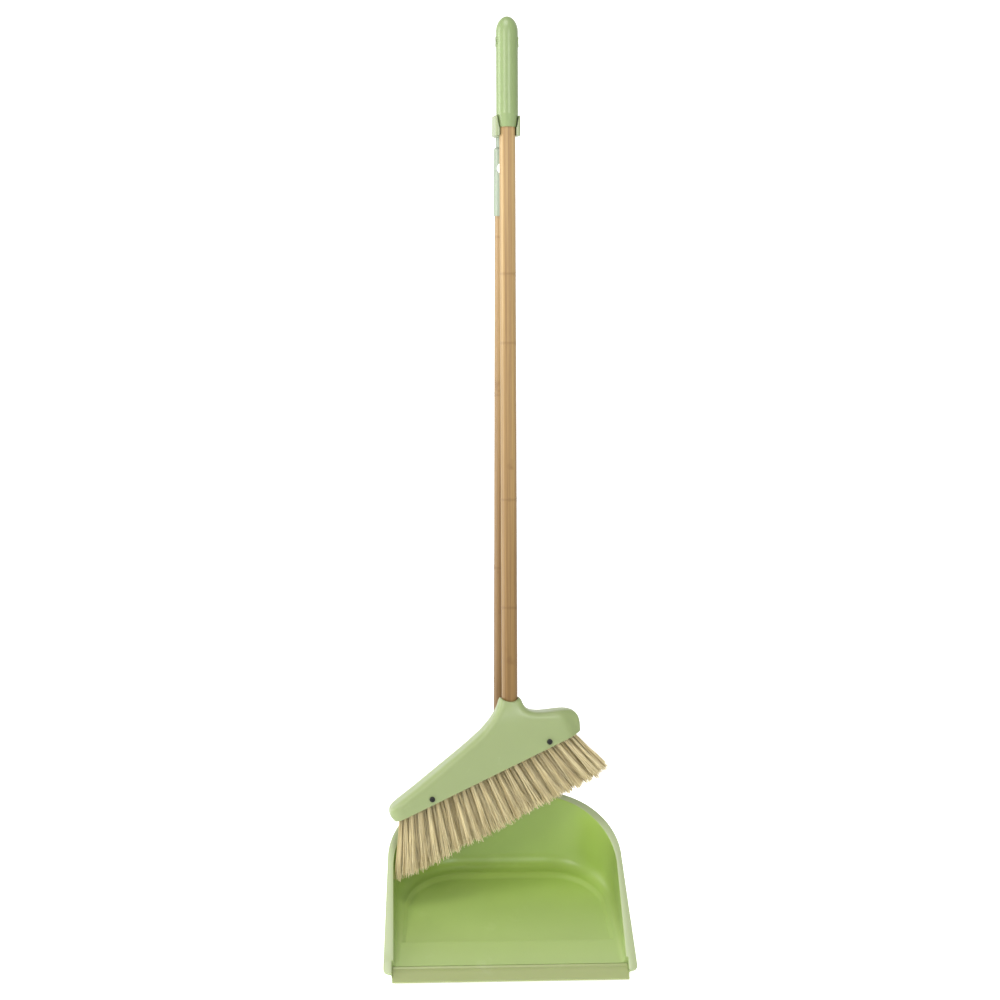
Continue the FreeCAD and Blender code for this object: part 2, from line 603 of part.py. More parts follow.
def head_cover():
    outline = head_outline()
    outer = outline.extrude(Vector(0, 2 * HEAD_DEPTH, 0))
    outer.translate(Vector(0, -HEAD_DEPTH, 0))
    outer = outer.common(head_thickness(0))

    inner_face = outline.makeOffset2D(-HEAD_WALL)
    inner = inner_face.extrude(Vector(0, 2 * HEAD_DEPTH, 0))
    inner.translate(Vector(0, -HEAD_DEPTH, 0))
    inner = inner.common(head_thickness(HEAD_WALL))

    socket_bottom = BROOM_POLE_BOTTOM - THREAD_LENGTH - HEAD_WALL
    socket = turned([
        (0, socket_bottom),
        (POLE_BORE + HEAD_WALL, socket_bottom),
        (SOCKET_ROOT_RADIUS, SOCKET_ROOT_HEIGHT),
        (SOCKET_RIM_RADIUS, SOCKET_TIP - SOCKET_SCALLOP),
        (SOCKET_RIM_RADIUS, SOCKET_TIP),
        (0, SOCKET_TIP),
    ])
    cover = outer.cut(inner)
    cover = cover.fuse(socket.common(outer.fuse(cylinder(SOCKET_ROOT_RADIUS, SOCKET_ROOT_HEIGHT, FAR))))

    scallop_radius = 2 * SOCKET_RIM_RADIUS
    scallop = Part.makeCylinder(scallop_radius, 4 * SOCKET_RIM_RADIUS,
                                Vector(0, -2 * SOCKET_RIM_RADIUS, 0), Y_AXIS)
    scallop.translate(Vector(0, 0, SOCKET_TIP - SOCKET_SCALLOP + scallop_radius))
    cover = cover.cut(scallop)

    block_room = rounded_bar(HEAD_LEFT - HEAD_WALL, HEAD_RIGHT - HEAD_WALL, HEAD_DEPTH / 2 - HEAD_WALL,
                             -HEAD_WALL, BLOCK_HEIGHT)
    cover = cover.cut(moved(block_room, edge_placement()))

    bore = cylinder(POLE_BORE, BROOM_POLE_BOTTOM - PRESS_GAP, SOCKET_TIP + 1)
    thread_bore = cylinder(THREAD_RADIUS + PRESS_GAP, BROOM_POLE_BOTTOM - THREAD_LENGTH - PRESS_GAP,
                           BROOM_POLE_BOTTOM)
    cover = cover.cut(bore).cut(thread_bore)
    cover = moved(cover, broom_placement())
    for along in block_screw_places():
        cover = cover.cut(block_screw_place(block_screw_room(), along))
    return cover.removeSplitter()


# --- tufts ---------------------------------------------------------------------------------------

def tuft_axes():
    """For each row, the base, direction and length of every tuft, in the broom's frame."""
    first = -HEAD_LEFT + LEFT_MARGIN
    last = HEAD_RIGHT - RIGHT_MARGIN
    step = (last - first) / (TUFTS_PER_ROW - 1)
    tip_tan = math.tan(math.radians(TIP_SLOPE))
    rows = []
    for row in range(ROW_COUNT):
        offset = (row - (ROW_COUNT - 1) / 2) * ROW_SPACING
        round_end = BLOCK_HALF_DEPTH - math.sqrt(BLOCK_HALF_DEPTH ** 2 - offset ** 2)
        stagger = step / 2 if row % 2 == 1 else 0
        axes = []
        for index in range(TUFTS_PER_ROW - row % 2):
            along = first + stagger + step * index
            if along < first + round_end or along > last - round_end:
                continue
            share = (along - first) / (last - first)
            lean = math.radians(-TUFT_LEFT_LEAN + (TUFT_LEFT_LEAN + TUFT_RIGHT_LEAN) * share ** LEAN_CURVE)
            base = edge_placement().multVec(Vector(along, offset, 0))
            direction = Vector(math.sin(lean), 0, -math.cos(lean))
            drop = base.z - (TIP_HEIGHT + base.x * tip_tan)
            length = drop / (math.cos(lean) + math.sin(lean) * tip_tan)
            axes.append((base, direction, length))
        rows.append(axes)
    return rows


def tuft(base, direction, length):
    """One tuft: a slim cone frustum that widens towards its tip, sunk into the block."""
    start = base - direction * TUFT_SINK
    root = Part.makeCylinder(TUFT_RADIUS, TUFT_SINK, start, direction)
    spread = Part.makeCone(TUFT_RADIUS, TUFT_TIP_RADIUS, length, base, direction)
    return root.fuse(spread)


def tuft_row(axes):
    return moved(Part.makeCompound([tuft(*axis) for axis in axes]), broom_placement())


def tuft_staples():
    """Short wires across the bottoms of the tuft holes."""
    wires = []
    for axes in tuft_axes():
        for base, direction, length in axes:
            middle = base - direction * (TUFT_SINK + PRESS_GAP / 2 + STAPLE_RADIUS)
            start = middle - Y_AXIS * TUFT_RADIUS
            wires.append(Part.makeCylinder(STAPLE_RADIUS - PRESS_GAP / 2, 2 * TUFT_RADIUS, start, Y_AXIS))
    return moved(Part.makeCompound(wires), broom_placement())


def tuft_block():
    block = rounded_bar(HEAD_LEFT - HEAD_WALL - PRESS_GAP, HEAD_RIGHT - HEAD_WALL - PRESS_GAP,
                        BLOCK_HALF_DEPTH, 0, BLOCK_HEIGHT - PRESS_GAP)
    block = moved(moved(block, edge_placement()), broom_placement())
    depth = TUFT_SINK + 2 * STAPLE_RADIUS + PRESS_GAP
    holes = []
    for axes in tuft_axes():
        for base, direction, length in axes:
            start = base - direction * depth
            holes.append(Part.makeCylinder(TUFT_RADIUS + PRESS_GAP, depth + length, start, direction))
    block = block.cut(moved(Part.makeCompound(holes), broom_placement()))
    for along in block_screw_places():
        block = block.cut(block_screw_place(block_screw_room(), along))
    return block


# --- write every piece ---------------------------------------------------------------------------

save(pan_shell(), "pan_shell")
save(pan_lip(), "pan_lip")
save(pan_pole(), "pan_pole")
save(socket_screw_place(large_screw()), "pan_socket_screw")
save(pan_grip(), "pan_grip")
save(broom_clip(), "broom_clip")
save(clip_screw_place(large_screw()), "clip_screw")
save(broom_pole(), "broom_pole")
save(broom_grip(), "broom_grip")
save(pole_thread(), "pole_thread")
save(head_cover(), "head_cover")
save(tuft_block(), "tuft_block")
save(tuft_staples(), "tuft_staples")
save(Part.makeCompound([block_screw_place(block_screw(), along) for along in block_screw_places()]),
     "block_screws")
for number, row_axes in enumerate(tuft_axes(), 1):
    save(tuft_row(row_axes), "bristle_row_%d" % number)
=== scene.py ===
import json
import math
import random

import bmesh
import bpy
from mathutils import Matrix, Vector


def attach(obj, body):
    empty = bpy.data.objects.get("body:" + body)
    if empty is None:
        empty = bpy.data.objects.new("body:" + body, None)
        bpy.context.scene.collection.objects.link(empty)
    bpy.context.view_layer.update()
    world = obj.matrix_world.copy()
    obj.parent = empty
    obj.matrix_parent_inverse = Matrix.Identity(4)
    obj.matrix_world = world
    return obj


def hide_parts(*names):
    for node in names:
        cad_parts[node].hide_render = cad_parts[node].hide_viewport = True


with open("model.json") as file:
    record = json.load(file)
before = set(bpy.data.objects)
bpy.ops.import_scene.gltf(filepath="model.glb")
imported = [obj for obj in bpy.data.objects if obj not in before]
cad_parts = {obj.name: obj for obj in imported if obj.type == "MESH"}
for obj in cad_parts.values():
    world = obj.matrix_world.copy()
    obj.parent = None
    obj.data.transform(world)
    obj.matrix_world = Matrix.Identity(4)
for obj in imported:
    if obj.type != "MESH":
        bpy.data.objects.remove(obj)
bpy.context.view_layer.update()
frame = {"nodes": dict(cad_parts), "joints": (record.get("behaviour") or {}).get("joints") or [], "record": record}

print("frame loaded:", len(frame["nodes"]), "pieces")

mounts = {mount["name"]: mount for mount in frame["record"]["mounts"]}
pullAxis = Vector(frame["joints"][0]["axis"]).normalized()


# the two working frames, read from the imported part
def axesMatrix(xAxis, yAxis, origin):
    zAxis = xAxis.cross(yAxis).normalized()
    turned = Matrix((xAxis, yAxis, zAxis)).transposed().to_4x4()
    turned.translation = origin
    return turned


hangHeight = 0.799  # hang hole above the lip
broomHoleHeight = 0.9255  # broom's own hole above the foot of its axis
broomX = Vector(mounts["broom_hang_hole"]["axis"]).normalized()
broomFrame = axesMatrix(broomX, -pullAxis, Vector((0, 0, 0)))
broomHole = Vector(mounts["broom_hang_hole"]["pos_m"])
broomFrame.translation = broomHole - broomFrame.col[2].to_3d() * broomHoleHeight

undersideDepth = 0.090  # from the lip's front edge back to the underside's mount
floorNormal = -Vector(mounts["pan_underside"]["axis"]).normalized()
panBack = floorNormal.cross(Vector((1, 0, 0))).normalized()
panFrame = axesMatrix(Vector((1, 0, 0)), panBack, Vector((0, 0, 0)))
panFrame.translation = Vector(mounts["pan_underside"]["pos_m"]) - panBack * undersideDepth

edgeSlope = math.radians(24.6)  # lower edge of the head rises to +X
edgeHeight = 0.1886  # where that edge crosses the broom's axis
edgeFrame = Matrix.Translation((0, 0, edgeHeight)) @ Matrix.Rotation(-edgeSlope, 4, "Y")
poleFrame = Matrix.Translation((0, 0, -hangHeight))


# small mesh helpers
def sharpen(mesh, angle):
    bm = bmesh.new()
    bm.from_mesh(mesh)
    limit = math.radians(angle)
    for edge in bm.edges:
        edge.smooth = len(edge.link_faces) == 2 and edge.calc_face_angle(0) < limit
    for face in bm.faces:
        face.smooth = True
    bm.to_mesh(mesh)
    bm.free()


def addObject(name, data):
    made = bpy.data.objects.new(name, data)
    bpy.context.scene.collection.objects.link(made)
    return made


def asPiece(name, bm, place=None, recalc=True, angle=34):
    if recalc:
        bmesh.ops.recalc_face_normals(bm, faces=bm.faces)
    if place is not None:
        bm.transform(place)
    mesh = bpy.data.meshes.new(name)
    bm.to_mesh(mesh)
    bm.free()
    sharpen(mesh, angle)
    return addObject(name, mesh)


def plainMesh(piece):  # a copy of its mesh with the modifiers applied
    bpy.context.view_layer.update()
    return bpy.data.meshes.new_from_object(piece.evaluated_get(bpy.context.evaluated_depsgraph_get()))


def settle(piece, angle=34):  # modifiers become plain mesh
    shape = plainMesh(piece)
    piece.modifiers.clear()
    piece.data = shape
    shape.name = piece.name
    sharpen(shape, angle)
    return piece


def drop(*pieces):
    for piece in pieces:
        bpy.data.objects.remove(piece, do_unlink=True)


def dress(piece, material, body, slot, *nodes):
    piece.data.materials.clear()
    piece.data.materials.append(material)
    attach(piece, body)
    if nodes:
        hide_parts(*nodes)


def lathe(bm, profile, steps):  # closed ring of (radius, height) points, turned about Z
    rings = []
    for radius, height in profile:
        if radius < 1e-6:
            rings.append([bm.verts.new((0, 0, height))] * steps)
            continue
        turns = (2 * math.pi * i / steps for i in range(steps))
        rings.append([bm.verts.new((radius * math.cos(a), radius * math.sin(a), height)) for a in turns])
    for low, high in zip(rings, rings[1:]):
        for i in range(steps):
            j = (i + 1) % steps
            corners = []
            for vert in (low[i], low[j], high[j], high[i]):
                if vert not in corners:
                    corners.append(vert)
            if len(corners) > 2:
                bm.faces.new(corners)
    return rings


def paint(mesh, name, values):  # one value or one vector for each point of the mesh
    single = isinstance(values[0], float)
    layer = mesh.attributes.new(name, "FLOAT" if single else "FLOAT_VECTOR", "POINT")
    flat = values if single else [part for value in values for part in value]
    layer.data.foreach_set("value" if single else "vector", flat)


def bezier(start, bend, end, count):  # points of a round corner, both ends included
    return [start.lerp(bend, i / count).lerp(bend.lerp(end, i / count), i / count) for i in range(count + 1)]


def cutWith(piece, cutter, action="DIFFERENCE"):
    tool = piece.modifiers.new("cut", "BOOLEAN")
    tool.object = cutter
    tool.operation = action
    tool.solver = "EXACT"
    settle(piece)
    drop(cutter)


def roundedBar(left, right, half, bottom, top):  # bar along x with half-round ends
    bm = bmesh.new()
    ring = []
    steps = 16  # facets of each round end
    for centre, begin in ((left + half, math.pi / 2), (right - half, -math.pi / 2)):
        for i in range(steps + 1):
            turn = begin + math.pi * i / steps
            ring.append((centre + half * math.cos(turn), half * math.sin(turn)))
    low = [bm.verts.new((x, y, bottom)) for x, y in ring]
    high = [bm.verts.new((x, y, top)) for x, y in ring]
    bm.faces.new(low)
    bm.faces.new(high)
    for i in range(len(ring)):
        j = (i + 1) % len(ring)
        bm.faces.new((low[i], low[j], high[j], high[i]))
    return bm


def boxMesh(low, high):
    bm = bmesh.new()
    bmesh.ops.create_cube(bm, size=1)
    for vert in bm.verts:
        vert.co = Vector([low[k] if vert.co[k] < 0 else high[k] for k in range(3)])
    return bm


# shader node groups shared by several materials
def addNode(tree, kind, **values):
    node = tree.nodes.new(kind)
    for key, value in values.items():
        if hasattr(node, key):
            setattr(node, key, value)
        else:
            node.inputs[key].default_value = value
    return node


def preset(node, values):
    for key, value in values.items():
        node.inputs[key].default_value = value


def objectPlace(tree):  # position within the piece's own frame
    return addNode(tree, "ShaderNodeTexCoord").outputs["Object"]


def link(tree, source, target):
    tree.links.new(source, target)


def feed(tree, source, socket):  # a plain value is set on the socket, anything else is linked to it
    if isinstance(source, (float, int, tuple)):
        socket.default_value = source
    elif source is not None:
        link(tree, source, socket)


def groupTree(name, inputs, outputs, kind="ShaderNodeTree"):
    tree = bpy.data.node_groups.new(name, kind)
    for label, socketType, value in inputs:
        socket = tree.interface.new_socket(label, in_out="INPUT", socket_type=socketType)
        if value is not None:
            socket.default_value = value
    for label, socketType in outputs:
        tree.interface.new_socket(label, in_out="OUTPUT", socket_type=socketType)
    return tree, tree.nodes.new("NodeGroupInput"), tree.nodes.new("NodeGroupOutput")


def mixColours(tree, factor, first, second, mode="MIX"):
    mix = tree.nodes.new("ShaderNodeMix")
    mix.data_type = "RGBA"
    mix.blend_type = mode
    for socket, source in ((mix.inputs[0], factor), (mix.inputs[6], first), (mix.inputs[7], second)):
        feed(tree, source, socket)
    return mix.outputs[2]


def curveMath(tree, operation, first, second):
    node = tree.nodes.new("ShaderNodeMath")
    node.operation = operation
    for socket, source in zip(node.inputs, (first, second)):
        feed(tree, source, socket)
    return node.outputs[0]


def spread(tree, source, low, high, toLow=0.0, toHigh=1.0):
    node = tree.nodes.new("ShaderNodeMapRange")
    link(tree, source, node.inputs["Value"])
    preset(node, {"From Min": low, "From Max": high, "To Min": toLow, "To Max": toHigh})
    return node.outputs["Result"]


def mouldedGroup():  # flow marks, fine grain and rubbed patches of moulded plastic
    tree, ins, outs = groupTree(
        "mouldedSkin",
        [("Colour", "NodeSocketColor", (0.4, 0.5, 0.2, 1)), ("Mottle", "NodeSocketFloat", 0.06),
         ("Grain Size", "NodeSocketFloat", 900.0), ("Wear", "NodeSocketFloat", 0.25),
         ("Gloss", "NodeSocketFloat", 0.3)],
        [("Colour", "NodeSocketColor"), ("Roughness", "NodeSocketFloat"), ("Height", "NodeSocketFloat")])
    place = objectPlace(tree)
    cloud = addNode(tree, "ShaderNodeTexNoise", Scale=9.0, Detail=4.0, Roughness=0.6)
    fine = addNode(tree, "ShaderNodeTexNoise", Detail=2.0, Roughness=0.55)
    scuff = addNode(tree, "ShaderNodeTexNoise", Scale=24.0, Detail=5.0, Roughness=0.6)
    for noise in (cloud, fine, scuff):
        link(tree, place, noise.inputs["Vector"])
    link(tree, ins.outputs["Grain Size"], fine.inputs["Scale"])
    rub = curveMath(tree, "MULTIPLY", spread(tree, scuff.outputs["Fac"], 0.6, 0.75), ins.outputs["Wear"])
    tone = spread(tree, cloud.outputs["Fac"], 0.3, 0.7, -1.0, 1.0)
    tone = curveMath(tree, "MULTIPLY", tone, ins.outputs["Mottle"])
    tone = curveMath(tree, "ADD", tone, 1.0)
    shade = addNode(tree, "ShaderNodeVectorMath", operation="SCALE")
    link(tree, ins.outputs["Colour"], shade.inputs[0])
    link(tree, tone, shade.inputs["Scale"])
    link(tree, mixColours(tree, rub, shade.outputs[0], (0.74, 0.80, 0.58, 1)), outs.inputs["Colour"])
    rough = spread(tree, scuff.outputs["Fac"], 0.35, 0.7, -0.03, 0.05)
    rough = curveMath(tree, "ADD", rough, ins.outputs["Gloss"])
    link(tree, rough, outs.inputs["Roughness"])
    link(tree, fine.outputs["Fac"], outs.inputs["Height"])
    return tree


def fibreGroup():  # long streaks that follow the piece's own grain attribute
    tree, ins, outs = groupTree(
        "longGrain",
        [("Light", "NodeSocketColor", (0.6, 0.4, 0.2, 1)), ("Dark", "NodeSocketColor", (0.3, 0.16, 0.06, 1)),
         ("Across", "NodeSocketFloat", 900.0), ("Along", "NodeSocketFloat", 9.0)],
        [("Colour", "NodeSocketColor"), ("Streak", "NodeSocketFloat"), ("Height", "NodeSocketFloat")])
    grain = addNode(tree, "ShaderNodeAttribute", attribute_name="grain").outputs["Vector"]
    stretch = addNode(tree, "ShaderNodeCombineXYZ")
    link(tree, ins.outputs["Across"], stretch.inputs[0])
    link(tree, ins.outputs["Across"], stretch.inputs[1])
    link(tree, ins.outputs["Along"], stretch.inputs[2])
    scaled = addNode(tree, "ShaderNodeVectorMath", operation="MULTIPLY")
    link(tree, grain, scaled.inputs[0])
    link(tree, stretch.outputs[0], scaled.inputs[1])
    thin = addNode(tree, "ShaderNodeTexNoise", Scale=1.0, Detail=5.0, Roughness=0.65)
    broad = addNode(tree, "ShaderNodeTexNoise", Scale=0.22, Detail=2.0, Roughness=0.5)
    link(tree, scaled.outputs[0], thin.inputs["Vector"])
    link(tree, scaled.outputs[0], broad.inputs["Vector"])
    streak = spread(tree, thin.outputs["Fac"], 0.36, 0.66)
    band = spread(tree, broad.outputs["Fac"], 0.35, 0.68)
    streakPart = curveMath(tree, "MULTIPLY", streak, 0.45)
    both = curveMath(tree, "ADD", streakPart, curveMath(tree, "MULTIPLY", band, 0.55))
    link(tree, mixColours(tree, both, ins.outputs["Light"], ins.outputs["Dark"]), outs.inputs["Colour"])
    link(tree, both, outs.inputs["Streak"])
    link(tree, thin.outputs["Fac"], outs.inputs["Height"])
    return tree


mouldedSkin = mouldedGroup()
longGrain = fibreGroup()


def newMaterial(name):
    material = bpy.data.materials.new(name)
    material.use_nodes = True
    tree = material.node_tree
    return material, tree, tree.nodes["Principled BSDF"]


def addBump(tree, shader, height, strength, distance, rounding=0.0):
    bump = addNode(tree, "ShaderNodeBump", Strength=strength, Distance=distance)
    if rounding:  # softens the look of crisp moulded edges
        soft = addNode(tree, "ShaderNodeBevel", samples=6, Radius=rounding)
        link(tree, soft.outputs["Normal"], bump.inputs["Normal"])
    link(tree, height, bump.inputs["Height"])
    link(tree, bump.outputs["Normal"], shader.inputs["Normal"])


def plastic(name, colour, gloss, mottle=0.05, wear=0.25, grain=900.0, see=0.0, rounding=0.0, backShadeTint=None,
            litRimTint=None):
    material, tree, shader = newMaterial(name)
    skin = tree.nodes.new("ShaderNodeGroup")
    skin.node_tree = mouldedSkin
    preset(skin, {"Colour": (*colour, 1), "Mottle": mottle, "Grain Size": grain, "Wear": wear,
                  "Gloss": gloss})
    shown = skin.outputs["Colour"]
    if backShadeTint:  # painted shade: darker, greener colour towards the back wall; painted light: paler along the rim
        place = addNode(tree, "ShaderNodeSeparateXYZ")
        link(tree, objectPlace(tree), place.inputs[0])
        # painted shade mask: 0 near the lip, rising to 1 at the back wall under the hood
        inside = spread(tree, place.outputs["Y"], -0.175, -0.03)
        shown = mixColours(tree, inside, shown, (*backShadeTint, 1), "MULTIPLY")
        # painted light: the flange band is made paler, as if it catches the light
        rimLightMask = addNode(tree, "ShaderNodeAttribute", attribute_name="rimLightMask").outputs["Fac"]
        shown = mixColours(tree, rimLightMask, shown, (*litRimTint, 1))
    link(tree, shown, shader.inputs["Base Color"])
    link(tree, skin.outputs["Roughness"], shader.inputs["Roughness"])
    preset(shader, {"IOR": 1.49, "Subsurface Weight": see, "Subsurface Radius": (0.6, 1.0, 0.25),
                    "Subsurface Scale": 0.003})
    addBump(tree, shader, skin.outputs["Height"], 0.06, 0.0002, rounding)
    return material


panPlastic = plastic("panPlastic", (0.316, 0.402, 0.160), gloss=0.34, mottle=0.03, wear=0.09, see=0.12,
                     backShadeTint=(0.86, 0.98, 0.44), litRimTint=(0.35, 0.405, 0.226))
headPlastic = plastic("headPlastic", (0.238, 0.292, 0.126), gloss=0.36, mottle=0.03, wear=0.12, see=0.08)
gripPlastic = plastic("gripPlastic", (0.215, 0.285, 0.122), gloss=0.34, see=0.08, rounding=0.0005)
capPlastic = plastic("capPlastic", (0.262, 0.315, 0.236), gloss=0.36, see=0.1, rounding=0.0005)
clipPlastic = plastic("clipPlastic", (0.252, 0.296, 0.158), gloss=0.34, see=0.1, rounding=0.0006)
blockPlastic = plastic("blockPlastic", (0.24, 0.29, 0.11), gloss=0.5, wear=0.1)
threadPlastic = plastic("threadPlastic", (0.16, 0.16, 0.14), gloss=0.5, wear=0.1)
lipRubber = plastic("lipRubber", (0.300, 0.343, 0.148), gloss=0.42, mottle=0.03, wear=0.09, grain=1500.0,
                    see=0.15)


def bambooMaterial():
    material, tree, shader = newMaterial("bamboo")
    grain = tree.nodes.new("ShaderNodeGroup")
    grain.node_tree = longGrain
    preset(grain, {"Light": (0.465, 0.325, 0.152, 1), "Dark": (0.160, 0.082, 0.030, 1),
                   "Across": 520.0, "Along": 4.0})
    rings = addNode(tree, "ShaderNodeAttribute", attribute_name="ring").outputs["Fac"]
    scarred = mixColours(tree, spread(tree, rings, 0.15, 1.0, 0.0, 0.3), grain.outputs["Colour"],
                         (0.16, 0.085, 0.035, 1))
    spots = addNode(tree, "ShaderNodeTexNoise", Scale=38.0, Detail=3.0)
    link(tree, objectPlace(tree), spots.inputs["Vector"])
    specks = spread(tree, spots.outputs["Fac"], 0.66, 0.76, 0.0, 0.55)
    place = addNode(tree, "ShaderNodeSeparateXYZ")
    link(tree, objectPlace(tree), place.inputs[0])
    footShare = spread(tree, place.outputs["Z"], 0.0, -0.62, 0.0, 1.0)
    speckled = mixColours(tree, specks, scarred, (0.20, 0.11, 0.045, 1))
    darkened = mixColours(tree, footShare, speckled, (0.52, 0.43, 0.25, 1), "MULTIPLY")  # darker towards the foot
    link(tree, darkened, shader.inputs["Base Color"])
    rough = spread(tree, grain.outputs["Streak"], 0.0, 1.0, 0.34, 0.5)
    link(tree, rough, shader.inputs["Roughness"])
    preset(shader, {"Specular IOR Level": 0.3, "Coat Weight": 0.04, "Coat Roughness": 0.18})
    addBump(tree, shader, grain.outputs["Height"], 0.25, 0.0003)
    return material


def fibreMaterial():
    material, tree, shader = newMaterial("bristleFibre")
    tone = addNode(tree, "ShaderNodeAttribute", attribute_name="fibreTone").outputs["Fac"]
    reach = addNode(tree, "ShaderNodeAttribute", attribute_name="fibreReach").outputs["Fac"]
    colour = mixColours(tree, tone, (0.47, 0.36, 0.145, 1), (0.98, 0.88, 0.56, 1))
    # painted shade: fibres darker near their roots, where they crowd together under the head
    rootShade = spread(tree, reach, 0.0, 0.45, 0.45, 0.0)
    link(tree, mixColours(tree, rootShade, colour, (0.34, 0.24, 0.095, 1)), shader.inputs["Base Color"])
    link(tree, spread(tree, tone, 0.0, 1.0, 0.62, 0.45), shader.inputs["Roughness"])
    shader.inputs["Sheen Weight"].default_value = 0.15
    return material


def metalMaterial(name, colour, rough, metallic=1.0):
    material, tree, shader = newMaterial(name)
    marks = addNode(tree, "ShaderNodeTexNoise", Scale=700.0, Detail=4.0)
    link(tree, objectPlace(tree), marks.inputs["Vector"])
    darker = tuple(part * 0.72 for part in colour)
    tone = mixColours(tree, marks.outputs["Fac"], (*colour, 1), (*darker, 1))
    link(tree, tone, shader.inputs["Base Color"])
    dull = spread(tree, marks.outputs["Fac"], 0.3, 0.7, rough - 0.06, rough + 0.1)
    link(tree, dull, shader.inputs["Roughness"])
    shader.inputs["Metallic"].default_value = metallic
    addBump(tree, shader, marks.outputs["Fac"], 0.1, 0.0001)
    return material


bamboo = bambooMaterial()
bristleFibre = fibreMaterial()
screwSteel = metalMaterial("screwSteel", (0.62, 0.61, 0.58), 0.36)
stapleWire = metalMaterial("stapleWire", (0.60, 0.58, 0.52), 0.35)
darkScrew = metalMaterial("darkScrew", (0.012, 0.014, 0.011), 0.55, 0.2)
print("materials ready")


# dust pan, in the pan's own frame: x across, y back from the lip, z up from the underside
panSize = {
    "footFront": 0.116, "footBack": 0.113, "footCorner": 0.066, "footDepth": 0.1817,
    "brimFront": 0.1205, "brimBack": 0.117, "brimCorner": 0.080, "brimDepth": 0.2122, "brimHeight": 0.080,
    "wellY": 0.0557, "wellFront": 0.1075, "wellBack": 0.1045, "wellCorner": 0.060, "wellDepth": 0.1697,
    "rimY": 0.0077, "rimZ": 0.006, "rimSlope": 18.5,
    "rimFront": 0.126, "rimBack": 0.121, "rimCorner": 0.085, "rimLength": 0.220,
    "rimThick": 0.0024, "rimEnd": 0.0048, "wall": 0.0022, "floor": 0.0026, "ledge": 0.0052,
    "rampFoot": 0.0032, "lipDepth": 0.0217, "lipHalf": 0.117, "blankFront": -0.040,
    "stepSide": 0.0055, "stepBack": 0.0105, "stepParts": 10,
}


# right half of an outline seen from above, part runs 0 to 1 in each zone
def outlinePoint(zone, part, front, depth, frontHalf, backHalf, corner):
    if zone == "side":
        y = front + (depth - corner - front) * part
        return Vector((frontHalf + (backHalf - frontHalf) * part, y, 0))
    if zone == "corner":
        turn = math.pi / 2 * part
        x = backHalf - corner + corner * math.cos(turn)
        return Vector((x, depth - corner + corner * math.sin(turn), 0))
    return Vector(((backHalf - corner) * (1 - part), depth, 0))


def panStations():  # (zone, part along the foot line, its y) for the right half, front to back centre
    s = panSize
    sideEnd = s["footDepth"] - s["footCorner"]
    ys = [s["rimY"] + step for step in (0, 0.0004, 0.0012, 0.0025)]
    ys += [0.0125, 0.0175, s["lipDepth"] - 0.0001, s["lipDepth"] + 0.0001, 0.030, 0.039, 0.048, s["wellY"]]
    count = 12  # sections along the straight of each side
    ys += [s["wellY"] + (sideEnd - s["wellY"]) * i / count for i in range(1, count)]
    stations = [("side", (y - s["blankFront"]) / (sideEnd - s["blankFront"]), y) for y in ys]
    stations += [("corner", i / 24, None) for i in range(25)]
    stations += [("back", i / 8, None) for i in range(1, 9)]
    return stations


def outward(zone, part):
    if zone == "side":
        return Vector((1, 0, 0))
    if zone == "corner":
        return Vector((math.cos(math.pi / 2 * part), math.sin(math.pi / 2 * part), 0))
    return Vector((0, 1, 0))


def outlineOf(name, zone, part, front):  # foot, brim or well
    s = panSize
    return outlinePoint(zone, part, front, s[name + "Depth"], s[name + "Front"], s[name + "Back"],
                        s[name + "Corner"])


